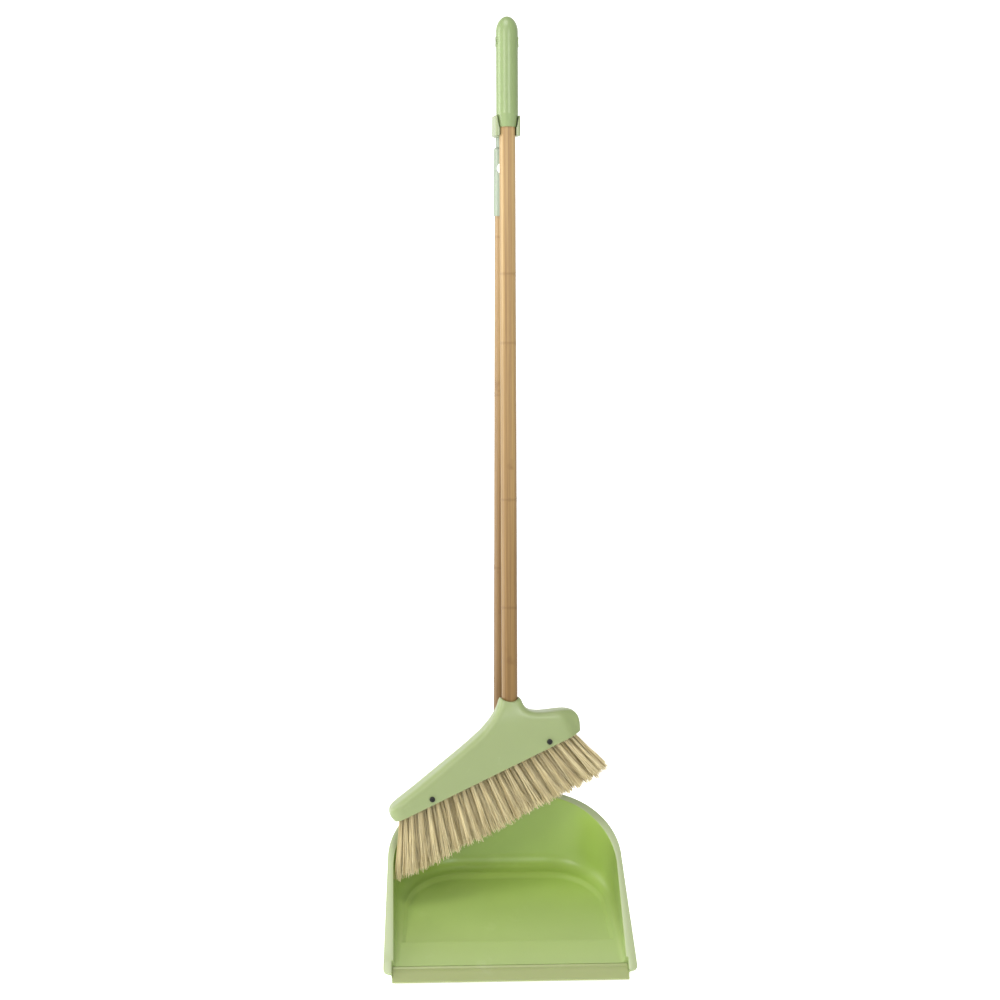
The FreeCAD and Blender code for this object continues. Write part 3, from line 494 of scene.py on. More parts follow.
def panProfile(zone, part, footY):  # one section, from the ledge over the rim to the underside
    s = panSize
    foot = outlineOf("foot", zone, part, s["blankFront"])
    brim = outlineOf("brim", zone, part, s["blankFront"])
    out = outward(zone, part)
    slope = math.radians(s["rimSlope"])
    rise = math.tan(slope)

    def wall(height, extra=0.0):
        point = foot.lerp(brim, height / s["brimHeight"]) + out * extra
        return Vector((point.x, point.y, height))

    drift = (brim.y - foot.y) / s["brimHeight"]
    top = (s["rimZ"] + (foot.y - s["rimY"]) * rise) / (1 - drift * rise)
    sideEnd = s["footDepth"] - s["footCorner"]
    if zone == "side":
        rimPart = (footY - s["rimY"]) / (sideEnd - s["rimY"])
    else:
        rimPart = part
    flat = outlinePoint(zone, rimPart, 0, s["rimLength"], s["rimFront"], s["rimBack"], s["rimCorner"])
    if zone == "side":  # the flange's front end is rounded off
        behind = max(0.0, s["rimEnd"] - (footY - s["rimY"]))
        flat.x -= s["rimEnd"] - math.sqrt(s["rimEnd"] ** 2 - behind ** 2)
    rimOut = Vector((flat.x, s["rimY"] + flat.y * math.cos(slope), s["rimZ"] + flat.y * math.sin(slope)))
    up = Vector((0, -math.sin(slope), math.cos(slope)))

    horn = zone == "side" and footY < s["lipDepth"]
    if horn:
        inner = Vector((s["lipHalf"] + 0.0002, foot.y, 0.0003))
        rimIn = Vector((s["lipHalf"] + 0.0002, foot.y, top))
        points = [inner.lerp(rimIn, i / 12 * 0.86) for i in range(13)]
    else:
        floorZ = s["ledge"]
        room = 0.0062
        if zone != "side" or footY >= s["wellY"]:
            room = (foot - wellPoint(zone, part, footY)).length - 0.0013
        else:
            climb = (footY - s["lipDepth"]) / (s["wellY"] - s["lipDepth"])
            floorZ = s["rampFoot"] + (s["ledge"] - s["rampFoot"]) * climb
        height = min(0.014, 0.7 * (top - floorZ))
        rimIn = wall(top)
        points = bezier(wall(floorZ) - out * room, wall(floorZ), wall(floorZ + height), 7)
        points += [wall(floorZ + height).lerp(wall(top - 0.0009), i / 5) for i in range(1, 6)]
    across = (rimOut - rimIn).normalized()
    width = (rimOut - rimIn).length
    crown = 0.0003
    points += bezier(points[-1], rimIn, rimIn + across * 0.0011, 3)[1:]
    points += [rimIn + across * width * 0.5 + up * crown]
    edge = rimOut - up * crown
    under = rimOut - up * s["rimThick"]
    points += bezier(rimOut - across * 0.0012, edge + up * crown, rimOut - up * 0.0011, 3)
    points += bezier(rimOut - up * 0.0013, under, under - across * 0.0012, 3)
    low = max(top - s["rimThick"] - 0.0012, 0.0012)
    outerTop = wall(low, s["wall"])
    outerCorner = wall(max(top - s["rimThick"], 0.0014), s["wall"])
    points += bezier(outerCorner + across * 0.0010, outerCorner, outerTop, 2)
    points += [outerTop.lerp(wall(0.0010, s["wall"]), i / 5) for i in range(1, 6)]
    if horn:
        points.append(Vector((foot.x + s["wall"] - 0.0004, foot.y, 0.0002)))
        points.append(Vector((s["lipHalf"] + 0.0003, foot.y, 0.0)))
    else:
        points += [wall(0.0002, s["wall"] - 0.0004), wall(0.0, s["wall"] - 0.0014)]
    return points


def wellPoint(zone, part, footY):
    s = panSize
    if zone == "side":
        sideEnd = s["footDepth"] - s["footCorner"]
        part = max(0.0, (footY - s["wellY"]) / (sideEnd - s["wellY"]))
    return outlineOf("well", zone, part, s["wellY"])


def wellRings(zone, part, footY):  # soft step from the ledge to the floor, crisper along the sides
    s = panSize
    steps = s["stepParts"]
    width = s["stepSide"]
    if zone != "side":
        width += (s["stepBack"] - s["stepSide"]) * (part if zone == "corner" else 1.0)
    top = wellPoint(zone, part, footY) + outward(zone, part) * 0.0004
    ring = []
    for i in range(steps + 1):
        share = i / steps
        drop = (1 - math.cos(math.pi * share)) / 2
        point = top - outward(zone, part) * width * share
        if zone == "side" and abs(footY - s["wellY"]) < 1e-6:
            point.y += width * share * 0.45
        ring.append(Vector((point.x, point.y, s["ledge"] + (s["floor"] - s["ledge"]) * drop)))
    return ring


def flip(point):
    return Vector((-point.x, point.y, point.z))


def buildPan():
    bm = bmesh.new()
    half = panStations()
    names = half + half[-2::-1]  # right side front to back, then left side back to front
    mirrored = [False] * len(half) + [True] * (len(half) - 1)
    rows = []
    wells = []
    for (zone, part, footY), left in zip(names, mirrored):
        profile = panProfile(zone, part, footY)
        rows.append([bm.verts.new(flip(p) if left else p) for p in profile])
        if zone == "side" and footY < panSize["wellY"] - 1e-6:
            wells.append(None)
        else:
            wells.append([bm.verts.new(flip(p) if left else p) for p in wellRings(zone, part, footY)])
    last = len(rows) - 1
    for a, b in zip(rows, rows[1:]):
        for k in range(len(a) - 1):
            bm.faces.new((a[k], a[k + 1], b[k + 1], b[k]))
    front = next(i for i, (zone, part, y) in enumerate(half) if y > panSize["lipDepth"])
    crest = next(i for i, well in enumerate(wells) if well)
    for low, high in ((0, front), (last - front, last)):  # the horns beside the lip are closed bars
        for i in range(low, high):
            bm.faces.new((rows[i][0], rows[i + 1][0], rows[i + 1][-1], rows[i][-1]))
    bm.faces.new(rows[0])
    bm.faces.new(rows[last])
    leftFront, leftCrest = last - front, last - crest
    bm.faces.new((rows[front][0], rows[leftFront][0], rows[leftFront][-1], rows[front][-1]))
    bm.faces.new([rows[i][-1] for i in range(front, leftFront + 1)])
    bm.faces.new([rows[i][0] for i in range(front, crest + 1)] + [wells[crest][0], wells[leftCrest][0]]
                 + [rows[i][0] for i in range(leftCrest, leftFront + 1)])
    for i in range(crest, leftCrest):
        bm.faces.new((rows[i][0], rows[i + 1][0], wells[i + 1][0], wells[i][0]))
        for k in range(len(wells[i]) - 1):
            bm.faces.new((wells[i][k], wells[i + 1][k], wells[i + 1][k + 1], wells[i][k + 1]))
    for k in range(len(wells[crest]) - 1):
        bm.faces.new((wells[crest][k], wells[leftCrest][k], wells[leftCrest][k + 1], wells[crest][k + 1]))
    bm.faces.new([wells[i][-1] for i in range(crest, leftCrest + 1)])
    bmesh.ops.recalc_face_normals(bm, faces=bm.faces)
    bm.verts.index_update()
    rimPoints = {v.index for row in rows for v in row[-21:-10]}  # flange, from its inner to its lower edge
    bm.transform(panFrame)
    # painted light mask: 1 on the flange's points, read by the pan material to pale the rim
    rimLightShare = [1.0 if v.index in rimPoints else 0.0 for v in bm.verts]
    addSocket(bm)
    piece = asPiece("panShell", bm, recalc=False, angle=30)
    paint(piece.data, "rimLightMask", rimLightShare + [0.0] * (len(piece.data.vertices) - len(rimLightShare)))
    return piece


socketSize = {"outer": 0.0115, "inner": 0.0083, "bottom": 0.056, "floorTop": 0.066, "top": 0.188,
              "web": 0.004, "webFront": -0.0148, "webBack": -0.0040, "webLow": 0.063, "webTop": 0.139}


def addSocket(bm):  # upright tube behind the pan, with the web that joins it to the back wall
    s = socketSize
    outer, inner, bottom, top = s["outer"], s["inner"], s["bottom"], s["top"]
    profile = [(0, bottom), (outer - 0.0015, bottom), (outer - 0.0004, bottom + 0.0004),
               (outer, bottom + 0.0015), (outer, top - 0.0012), (outer - 0.0004, top - 0.0003),
               (outer - 0.0012, top), (inner + 0.0006, top), (inner, top - 0.0008),
               (inner, s["floorTop"]), (0, s["floorTop"])]
    tube = bmesh.new()
    lathe(tube, profile, 72)
    web = boxMesh((-s["web"], s["webFront"], s["webLow"]), (s["web"], s["webBack"], s["webTop"]))
    bmesh.ops.bevel(web, geom=web.edges[:], offset=0.0008, segments=2, profile=0.5, affect="EDGES")
    for part in (tube, web):
        bmesh.ops.recalc_face_normals(part, faces=part.faces)
        part.transform(poleFrame)
        mesh = bpy.data.meshes.new("part")
        part.to_mesh(mesh)
        part.free()
        bm.from_mesh(mesh)
        bpy.data.meshes.remove(mesh)


panShell = buildPan()
dress(panShell, panPlastic, "dustpan", "pan_plastic", "pan_shell")
print("pan shell", len(panShell.data.polygons), "faces")


lipSize = {"half": 0.1170, "depth": 0.02165, "edge": 0.0014, "back": 0.0032, "tongueY": 0.00965,
           "tongueLow": 0.00045, "tongueHigh": 0.00155, "ridge": 0.0188}


def buildLip():
    s = lipSize
    nose = bezier(Vector((0, 0.0006, 0)), Vector((0, 0, 0)), Vector((0, 0, 0.0005)), 3)
    crest = Vector((0, s["edge"] * 1.1, s["edge"] + 0.0001))
    nose += bezier(Vector((0, 0, 0.0008)), Vector((0, 0.0001, s["edge"])), crest, 4)
    slope = (s["back"] - s["edge"]) / (s["depth"] - s["edge"])
    top = [Vector((0, y, s["edge"] + slope * (y - s["edge"]) + lift))
           for y, lift in ((0.006, 0), (0.012, 0), (s["ridge"] - 0.0012, 0), (s["ridge"] - 0.0006, -0.00035),
                           (s["ridge"], -0.00035), (s["ridge"] + 0.0006, 0))]
    back = [Vector((0, y, z)) for y, z in (
        (s["depth"] - 0.0005, s["back"]), (s["depth"], s["back"] - 0.0004), (s["depth"], s["tongueHigh"]),
        (s["tongueY"], s["tongueHigh"]), (s["tongueY"], s["tongueLow"]), (s["depth"], s["tongueLow"]),
        (s["depth"], 0))]
    section = nose + top + back
    bm = bmesh.new()
    rings = []
    half = s["half"]
    for x in (-half, -half + 0.0004, -half + 0.0012, 0, half - 0.0012, half - 0.0004, half):
        away = half - abs(x)
        pinch = 0.00045 * max(0.0, 1 - away / 0.0012) ** 2
        ring = []
        for p in section:
            z = min(p.z, s["back"] - pinch) if p.z > s["tongueHigh"] else p.z
            ring.append(bm.verts.new((x, max(p.y, pinch), z)))
        rings.append(ring)
    for a, b in zip(rings, rings[1:]):
        for k in range(len(section)):
            j = (k + 1) % len(section)
            bm.faces.new((a[k], a[j], b[j], b[k]))
    bm.faces.new(rings[0])
    bm.faces.new(rings[-1])
    return asPiece("panLip", bm, panFrame)


panLip = buildLip()
dress(panLip, lipRubber, "dustpan", "lip_rubber", "pan_lip")


# bamboo poles
poleSize = {"radius": 0.00825, "steps": 56, "slice": 0.004, "inset": 0.00012, "wave": 0.00003,
            "scar": 0.0016, "groove": 0.00012, "bulge": 0.00022, "bulgeAt": 0.0011, "bulgeWidth": 0.0013,
            "chamfer": 0.0005}


def bambooPole(name, low, high, place, nodeHeights, seed):  # a slightly wavy pole with a ring at each node
    rng = random.Random(seed)
    s = poleSize
    count = int((high - low) / s["slice"])
    wobble = [(rng.uniform(0.2, 1.0), rng.uniform(0, 6.28), rng.uniform(4, 11)) for _ in range(3)]
    bm = bmesh.new()
    heights = [low, low + 0.0006, high - 0.0006, high]
    heights += [low + (high - low) * i / count for i in range(1, count)]
    for node in nodeHeights:
        heights += [node + step * 0.0008 for step in range(-5, 6)]
    heights = sorted(set(round(h, 5) for h in heights if low <= h <= high))
    rings = []
    tags = []
    for h in heights:
        near = min([abs(h - node) for node in nodeHeights] + [1.0])
        tag = math.exp(-(near / s["scar"]) ** 2)
        edge = min(h - low, high - h)
        ring = []
        for i in range(s["steps"]):
            turn = 2 * math.pi * i / s["steps"]
            waviness = sum(a * math.sin(k * h * 6 + p + turn * 2) for a, p, k in wobble) * s["wave"]
            bulge = s["bulge"] * math.exp(-((near - s["bulgeAt"]) / s["bulgeWidth"]) ** 2)
            radius = s["radius"] - s["inset"] + waviness + bulge - s["groove"] * tag
            radius = min(radius, s["radius"] + 0.00002)
            if edge < s["chamfer"]:
                radius -= s["chamfer"]
            ring.append(bm.verts.new((radius * math.cos(turn), radius * math.sin(turn), h)))
            tags.append(tag)
        rings.append(ring)
    for a, b in zip(rings, rings[1:]):
        for i in range(s["steps"]):
            j = (i + 1) % s["steps"]
            bm.faces.new((a[i], a[j], b[j], b[i]))
    bm.faces.new(rings[0])
    bm.faces.new(rings[-1])
    grains = [tuple(v.co) for v in bm.verts]
    piece = asPiece(name, bm, place)
    shift = rng.uniform(0, 5)
    paint(piece.data, "grain", [(x + shift, y + shift, z + shift * 7) for x, y, z in grains])
    paint(piece.data, "ring", tags)
    return piece


panPole = bambooPole("panPole", 0.0661, 0.7859, poleFrame, [0.205, 0.384, 0.566, 0.729], 11)
dress(panPole, bamboo, "dustpan", "bamboo", "pan_pole")
broomPole = bambooPole("broomPole", 0.2221, 0.9169, broomFrame, [0.351, 0.462, 0.622, 0.692], 29)
dress(broomPole, bamboo, "broom", "bamboo", "broom_pole")
print("poles ready")


# broom head
headSize = {"left": 0.1357, "right": 0.0795, "depth": 0.034, "topDepth": 0.025, "wall": 0.0025,
            "lobe": 0.0075, "round": 0.0028, "voxel": 0.0011, "soften": 95,
            "rimRadius": 0.0106, "bore": 0.0083, "boreFloor": 0.2215, "tip": 0.2585, "scallop": 0.0052,
            "blockHeight": 0.011, "trim": 0.014, "thinFrom": 0.0100, "thinOver": 0.0600,
            "neckFrom": 0.2360, "neckOver": 0.0180, "neckPinch": 0.28,
            "collar": ((0.0150, 0.212), (0.0150, 0.222), (0.0140, 0.232), (0.0126, 0.242), (0.0117, 0.250))}


def headOutline():  # seen from the front in the broom's frame; the lower side runs past the edge for trimming
    s = headSize

    def atEdge(along, rise):
        return edgeFrame @ Vector((along, 0, rise))

    lobe = atEdge(-s["left"] + s["lobe"] + 0.0012, s["lobe"])
    points = [atEdge(-s["left"] + s["lobe"] + 0.0012, -s["trim"])]
    for i in range(9):
        turn = math.radians(245 - i * (245 - 128.5) / 8)
        points.append(lobe + Vector((math.cos(turn), 0, math.sin(turn))) * (s["lobe"] + 0.0003))
    wing = [(-0.0990, 0.1672), (-0.0759, 0.1856), (-0.0560, 0.2014), (-0.0415, 0.2134), (-0.0290, 0.2246),
            (-0.0202, 0.2350), (-0.0150, 0.2440), (-0.0120, 0.2520), (-0.0112, 0.2585), (0.0112, 0.2585),
            (0.0122, 0.2535), (0.0148, 0.2480), (0.0195, 0.2440), (0.0285, 0.2425), (0.0380, 0.2430),
            (0.0480, 0.2441), (0.0580, 0.2451), (0.0645, 0.2437), (0.0693, 0.2405), (0.0718, 0.2358),
            (0.0730, 0.2295), (0.0734, 0.2225), (0.0730, 0.2160)]
    points += [Vector((x, 0, z)) for x, z in wing]
    points.append(atEdge(s["right"] - 0.0012, -s["trim"]))
    return points


def buildHead():
    s = headSize
    bm = bmesh.new()
    ring = [bm.verts.new(p + Vector((0, -s["depth"] / 2, 0))) for p in headOutline()]
    face = bm.faces.new(ring)
    made = bmesh.ops.extrude_face_region(bm, geom=[face])
    moved = [item for item in made["geom"] if isinstance(item, bmesh.types.BMVert)]
    bmesh.ops.translate(bm, verts=moved, vec=(0, s["depth"], 0))
    flatEdges = [e for e in bm.edges if abs(e.verts[0].co.y - e.verts[1].co.y) < 1e-6]
    bmesh.ops.bevel(bm, geom=flatEdges, offset=s["round"], segments=2, profile=0.5, affect="EDGES",
                    clamp_overlap=True)
    toEdge = edgeFrame.inverted()
    for vert in bm.verts:  # thinner towards the top, and a little crowned
        rise = (toEdge @ vert.co).z
        share = min(1.0, max(0.0, (rise - s["thinFrom"]) / s["thinOver"]))
        neck = min(1.0, max(0.0, (vert.co.z - s["neckFrom"]) / s["neckOver"]))
        vert.co.y *= (1 - share ** 1.3 * (1 - s["topDepth"] / s["depth"])) * (1 - s["neckPinch"] * neck)
    lathe(bm, [(0, 0.212), *s["collar"], (s["rimRadius"] + 0.0004, 0.256), (s["rimRadius"], s["tip"]),
               (0, s["tip"])], 64)
    head = asPiece("headCover", bm, angle=60)
    remesh = head.modifiers.new("skin", "REMESH")
    remesh.mode = "VOXEL"
    remesh.voxel_size = s["voxel"]
    settle(head, 60)
    roundEnds(head, toEdge)
    smooth = head.modifiers.new("soften", "SMOOTH")
    smooth.iterations = s["soften"]
    smooth.factor = 0.6
    settle(head, 60)
    addRimBead(head)
    below = boxMesh((-0.3, -0.1, -0.1), (0.3, 0.1, 0.0))
    cutWith(head, asPiece("below", below, edgeFrame))
    half = s["depth"] / 2 - s["wall"]
    room = roundedBar(-s["left"] + s["wall"], s["right"] - s["wall"], half, -0.01, s["blockHeight"])
    cutWith(head, asPiece("room", room, edgeFrame))
    bore = bmesh.new()
    lathe(bore, [(0, s["boreFloor"]), (s["bore"], s["boreFloor"]), (s["bore"], 0.30), (0, 0.30)], 64)
    cutWith(head, asPiece("bore", bore))
    head.data.transform(broomFrame)
    return settle(head, 40)


def roundEnds(head, toEdge):  # ends of the cover are round seen from above, the left one like a bulb
    s = headSize
    for vert in head.data.vertices:
        along = (toEdge @ vert.co).x
        inside = min(along + s["left"], s["right"] - along)
        away = min(1.0, max(0.0, 1 - inside / (s["depth"] / 2)))
        vert.co.y *= max(0.25, 1 - away ** 2.6) ** 0.45


def addRimBead(head):  # scalloped mouth of the socket, its sides higher than front and back
    s = headSize
    bm = bmesh.new()
    radius = s["scallop"] + (s["rimRadius"] ** 2) / (2 * s["scallop"])
    scallop = bmesh.new()
    lathe(scallop, [(0, -0.03), (radius, -0.03), (radius, 0.03), (0, 0.03)], 160)
    turn = Matrix.Translation((0, 0, s["tip"] - s["scallop"] + radius)) @ Matrix.Rotation(math.pi / 2, 4, "X")
    cutWith(head, asPiece("scallop", scallop, turn))
    middle, thick, count = 0.00945, 0.00125, 96
    rings = []
    for i in range(count):
        turn = 2 * math.pi * i / count
        x = middle * math.cos(turn)
        dip = radius - math.sqrt(radius ** 2 - x ** 2)
        centre = Vector((x, middle * math.sin(turn), s["tip"] - s["scallop"] + dip - 0.0004))
        out = Vector((math.cos(turn), math.sin(turn), 0))
        rings.append([bm.verts.new(centre + out * thick * math.cos(a) + Vector((0, 0, thick * math.sin(a))))
                      for a in (2 * math.pi * k / 12 for k in range(12))])
    for i in range(count):
        for k in range(12):
            bm.faces.new((rings[i][k], rings[(i + 1) % count][k], rings[(i + 1) % count][(k + 1) % 12],
                          rings[i][(k + 1) % 12]))
    bead = asPiece("bead", bm)
    cutWith(head, bead, "UNION")


headCover = buildHead()
dress(headCover, headPlastic, "broom", "head_plastic", "head_cover")
print("head", len(headCover.data.polygons), "faces")


# tufts of fibre, one piece for each row
tuftSize = {"rows": 5, "perRow": 21, "spacing": 0.0058, "leftMargin": 0.0115, "rightMargin": 0.008,
            "leftLean": 3.0, "rightLean": 43.0, "leanCurve": 0.75, "tipSlope": 26.6, "tipHeight": 0.1292,
            "sink": 0.004, "halfDepth": 0.01445, "fibres": 66}


def tuftRow(row):  # base point, direction and length of each tuft, in the broom's frame
    s = tuftSize
    first = -headSize["left"] + s["leftMargin"]
    last = headSize["right"] - s["rightMargin"]
    step = (last - first) / (s["perRow"] - 1)
    offset = (row - (s["rows"] - 1) / 2) * s["spacing"]
    roundEnd = s["halfDepth"] - math.sqrt(s["halfDepth"] ** 2 - offset ** 2)
    tipTan = math.tan(math.radians(s["tipSlope"]))
    tufts = []
    for index in range(s["perRow"] - row % 2):
        along = first + step * (index + 0.5 * (row % 2))
        if along < first + roundEnd or along > last - roundEnd:
            continue
        share = (along - first) / (last - first)
        lean = math.radians(-s["leftLean"] + (s["leftLean"] + s["rightLean"]) * share ** s["leanCurve"])
        base = edgeFrame @ Vector((along, offset, 0))
        aim = Vector((math.sin(lean), 0, -math.cos(lean)))
        length = (base.z - s["tipHeight"] - base.x * tipTan) / (math.cos(lean) + math.sin(lean) * tipTan)
        tufts.append((base, aim, length))
    return tufts


def socketId(tree, name):
    return next(item.identifier for item in tree.interface.items_tree
                if item.item_type == "SOCKET" and item.in_out == "INPUT" and item.name == name)


def tuftTree():  # points with an aim and a reach become fans of fine tapered fibres
    tree, ins, outs = groupTree(
        "tuftFibres",
        [("Geometry", "NodeSocketGeometry", None), ("Fibres", "NodeSocketInt", 60),
         ("Root Radius", "NodeSocketFloat", 0.0021), ("Tip Spread", "NodeSocketFloat", 0.8),
         ("Fibre Radius", "NodeSocketFloat", 0.00017), ("Ragged", "NodeSocketFloat", 0.05),
         ("Curl", "NodeSocketFloat", 0.0016), ("Seed", "NodeSocketInt", 1),
         ("Material", "NodeSocketMaterial", None)],
        [("Geometry", "NodeSocketGeometry")], "GeometryNodeTree")
    given = ins.outputs

    def node(kind, **values):
        return addNode(tree, kind, **values)

    def maths(operation, a, b=None):
        return curveMath(tree, operation, a, b)

    def vectorMath(operation, a, b=None, scale=None):
        made = node("ShaderNodeVectorMath", operation=operation)
        feed(tree, a, made.inputs[0])
        feed(tree, b, made.inputs[1])
        if scale is not None:
            link(tree, scale, made.inputs["Scale"])
        return made.outputs[0]

    def randomValue(offset, low=0.0, high=1.0):
        made = node("FunctionNodeRandomValue", data_type="FLOAT")
        preset(made, {2: low, 3: high})
        link(tree, maths("ADD", given["Seed"], float(offset)), made.inputs["Seed"])
        return made.outputs[1]

    def named(name, kind="FLOAT_VECTOR"):
        made = node("GeometryNodeInputNamedAttribute", data_type=kind)
        made.inputs["Name"].default_value = name
        return made.outputs["Attribute"]

    def store(geometry, name, kind, value, domain="POINT"):
        made = node("GeometryNodeStoreNamedAttribute", data_type=kind, domain=domain)
        made.inputs["Name"].default_value = name
        link(tree, geometry, made.inputs["Geometry"])
        link(tree, value, made.inputs["Value"])
        return made.outputs["Geometry"]

    points = node("GeometryNodeMeshToPoints")
    link(tree, given["Geometry"], points.inputs["Mesh"])
    many = node("GeometryNodeDuplicateElements", domain="POINT")
    link(tree, points.outputs[0], many.inputs["Geometry"])
    link(tree, given["Fibres"], many.inputs["Amount"])

    radius = maths("MULTIPLY", maths("SQRT", randomValue(1)), given["Root Radius"])
    turn = randomValue(2, 0.0, 6.2832)
    side = vectorMath("NORMALIZE", vectorMath("CROSS_PRODUCT", named("aim"), (0.0, 1.0, 0.0)))
    acrossOff = vectorMath("SCALE", side, scale=maths("MULTIPLY", radius, maths("COSINE", turn)))
    depthOff = vectorMath("SCALE", vectorMath("NORMALIZE", vectorMath("CROSS_PRODUCT", side, named("aim"))),
                          scale=maths("MULTIPLY", radius, maths("SINE", turn)))
    offset = vectorMath("ADD", acrossOff, depthOff)
    geometry = store(many.outputs["Geometry"], "offset", "FLOAT_VECTOR", offset)
    shorter = maths("MULTIPLY", maths("POWER", randomValue(3), 2.6), given["Ragged"])
    factor = maths("SUBTRACT", 1.0, shorter)
    geometry = store(geometry, "length", "FLOAT", maths("MULTIPLY", named("reach", "FLOAT"), factor))
    bendVector = node("FunctionNodeRandomValue", data_type="FLOAT_VECTOR")
    preset(bendVector, {0: (-1, -1, -1), 1: (1, 1, 1)})
    link(tree, maths("ADD", given["Seed"], 4.0), bendVector.inputs["Seed"])
    bend = vectorMath("SCALE", bendVector.outputs[0], scale=given["Curl"])
    geometry = store(geometry, "bend", "FLOAT_VECTOR", bend)
    geometry = store(geometry, "fibreTone", "FLOAT", randomValue(5))

    strand = node("GeometryNodeCurvePrimitiveLine")
    strand.inputs["End"].default_value = (0, 0, 0.001)
    resampled = node("GeometryNodeResampleCurve")
    resampled.inputs["Count"].default_value = 6
    link(tree, strand.outputs[0], resampled.inputs["Curve"])
    along = node("GeometryNodeSplineParameter").outputs["Factor"]
    marked = store(resampled.outputs[0], "fibreReach", "FLOAT", along)
    copies = node("GeometryNodeInstanceOnPoints")
    link(tree, geometry, copies.inputs["Points"])
    link(tree, marked, copies.inputs["Instance"])
    real = node("GeometryNodeRealizeInstances")
    link(tree, copies.outputs[0], real.inputs["Geometry"])

    reach = named("fibreReach", "FLOAT")
    start = vectorMath("SCALE", (0.0, 0.0, -0.001), scale=reach)  # undo the unit strand's own length
    travel = vectorMath("SCALE", named("aim"), scale=maths("MULTIPLY", named("length", "FLOAT"), reach))
    fan = maths("MULTIPLY", maths("POWER", reach, 1.25), given["Tip Spread"])
    fanned = vectorMath("SCALE", named("offset"), scale=maths("ADD", 1.0, fan))
    curled = vectorMath("SCALE", named("bend"), scale=maths("POWER", reach, 2.0))
    shift = vectorMath("ADD", vectorMath("ADD", travel, fanned), vectorMath("ADD", curled, start))
    shaped = node("GeometryNodeSetPosition")
    link(tree, real.outputs[0], shaped.inputs["Geometry"])
    link(tree, shift, shaped.inputs["Offset"])

    section = node("GeometryNodeCurvePrimitiveCircle")
    section.inputs["Resolution"].default_value = 3
    link(tree, given["Fibre Radius"], section.inputs["Radius"])
    solid = node("GeometryNodeCurveToMesh")
    link(tree, shaped.outputs[0], solid.inputs["Curve"])
    link(tree, section.outputs[0], solid.inputs["Profile Curve"])
    solid.inputs["Fill Caps"].default_value = True
    ending = node("GeometryNodeRealizeInstances")
    link(tree, solid.outputs[0], ending.inputs["Geometry"])
    painted = node("GeometryNodeSetMaterial")
    link(tree, ending.outputs[0], painted.inputs["Geometry"])
    link(tree, given["Material"], painted.inputs["Material"])
    link(tree, painted.outputs[0], outs.inputs["Geometry"])
    return tree


tuftFibres = tuftTree()


def buildRow(row):
    s = tuftSize
    rng = random.Random(40 + row)
    mesh = bpy.data.meshes.new("tuftPoints")
    tufts = tuftRow(row)
    mesh.from_pydata([base - aim * s["sink"] for base, aim, length in tufts], [], [])
    aims = []
    reaches = []
    for base, aim, length in tufts:
        sway = Vector((rng.uniform(-1, 1), 0.6 * rng.uniform(-1, 1), 0)) * 0.018
        aims.append((aim + sway).normalized())
        reaches.append(length + s["sink"] + rng.uniform(-0.0012, 0.0008))
    paint(mesh, "aim", aims)
    paint(mesh, "reach", reaches)
    holder = addObject("tuftPoints", mesh)
    maker = holder.modifiers.new("fibres", "NODES")
    maker.node_group = tuftFibres
    values = {"Fibres": s["fibres"], "Root Radius": 0.0022, "Tip Spread": 0.7, "Fibre Radius": 0.00024,
              "Ragged": 0.16, "Curl": 0.0021, "Seed": 100 * row + 7, "Material": bristleFibre}
    for name, value in values.items():
        maker[socketId(tuftFibres, name)] = value
    shape = plainMesh(holder)
    drop(holder)
    shape.transform(broomFrame)
    piece = addObject("bristleRow%d" % (row + 1), shape)
    shape.name = piece.name
    dress(piece, bristleFibre, "broom", "bristle_fibre", "bristle_row_%d" % (row + 1))
    return piece


rows = [buildRow(row) for row in range(tuftSize["rows"])]
print("bristles", sum(len(row.data.polygons) for row in rows), "faces")


# pieces whose CAD shape is right keep it and get their finish
finishes = {"pan_socket_screw": screwSteel, "pan_grip": capPlastic, "broom_clip": clipPlastic,
            "clip_screw": screwSteel, "broom_grip": gripPlastic, "pole_thread": threadPlastic,
            "tuft_block": blockPlastic, "tuft_staples": stapleWire, "block_screws": darkScrew}
for nodeName, material in finishes.items():
    node = frame["nodes"][nodeName]
    node.data.materials.clear()
    node.data.materials.append(material)
print("finishes given")


# floor, light and camera
floorSize = {"wide": 12.0, "back": 4.5, "front": -9.0, "height": 5.0, "bend": 1.6, "gap": 0.0012}


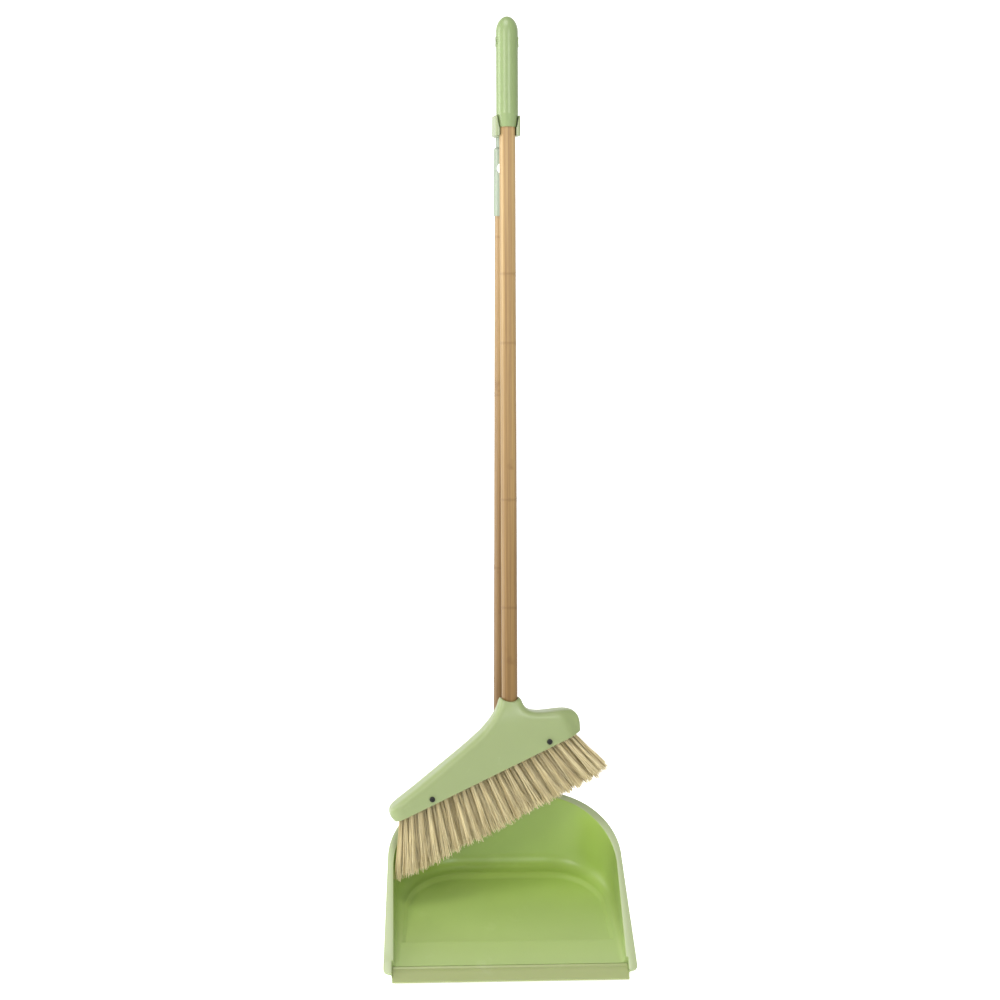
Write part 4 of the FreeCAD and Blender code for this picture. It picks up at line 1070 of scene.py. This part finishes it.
def buildFloor():  # floor that curves up into a backdrop well behind the set
    s = floorSize
    ground = -hangHeight - s["gap"]
    line = [(s["front"], ground), (s["back"] - s["bend"], ground)]
    for i in range(1, 17):
        turn = math.pi / 2 * i / 16
        line.append((s["back"] - s["bend"] + s["bend"] * math.sin(turn),
                     ground + s["bend"] * (1 - math.cos(turn))))
    line.append((s["back"], ground + s["height"]))
    bm = bmesh.new()
    left = [bm.verts.new((-s["wide"] / 2, y, z)) for y, z in line]
    right = [bm.verts.new((s["wide"] / 2, y, z)) for y, z in line]
    for i in range(len(line) - 1):
        bm.faces.new((left[i], right[i], right[i + 1], left[i + 1]))
    floor = asPiece("floor", bm, recalc=False, angle=80)
    material, _, shader = newMaterial("paleFloor")
    preset(shader, {"Base Color": (0.90, 0.90, 0.89, 1), "Roughness": 0.8,
                    "Emission Color": (1.0, 1.0, 1.0, 1), "Emission Strength": 0.62})
    floor.data.materials.append(material)


buildFloor()


def softLight(name, place, target, wide, high, power, colour=(1, 1, 1)):
    light = bpy.data.lights.new(name, "AREA")
    light.shape = "RECTANGLE"
    light.size = wide
    light.size_y = high
    light.energy = power
    light.color = colour
    lamp = addObject(name, light)
    lamp.location = place
    lamp.rotation_euler = (Vector(target) - Vector(place)).to_track_quat("-Z", "Y").to_euler()


softLight("keyLeft", (-1.25, -2.0, 0.45), (0, 0, -0.55), 0.4, 0.8, 18, (1.0, 0.98, 0.95))
softLight("fillRight", (0.6, -2.2, 0.4), (0, 0, -0.55), 0.35, 0.5, 14, (0.97, 0.99, 1.0))
softLight("edgeLeft", (-1.7, 0.1, -0.1), (0, 0, -0.3), 0.6, 1.8, 26)
softLight("above", (-0.35, -0.75, 1.35), (0, -0.15, -0.6), 0.9, 0.9, 20, (1.0, 0.99, 0.97))
world = bpy.data.worlds.new("studio")
world.use_nodes = True
preset(world.node_tree.nodes["Background"], {"Color": (1.0, 1.0, 1.0, 1), "Strength": 0.42})
bpy.context.scene.world = world
bpy.context.scene.view_settings.view_transform = "Standard"

eye = {"azimuth": 3.15, "away": 2.0, "height": 0.693, "pitch": 6.49, "roll": 0.158, "lens": 72.1,
       "aimX": -0.007, "aimY": -0.09}
turn = math.radians(eye["azimuth"])
camData = bpy.data.cameras.new("camera")
camData.lens = eye["lens"]
camData.sensor_width = 36.0
camera = addObject("camera", camData)
camera.location = (eye["aimX"] - eye["away"] * math.sin(turn), eye["aimY"] - eye["away"] * math.cos(turn),
                   eye["height"] - hangHeight)
camera.matrix_world = (Matrix.Translation(camera.location) @ Matrix.Rotation(-turn, 4, "Z")
                       @ Matrix.Rotation(math.radians(90 - eye["pitch"]), 4, "X")
                       @ Matrix.Rotation(math.radians(eye["roll"]), 4, "Z"))
bpy.context.scene.camera = camera
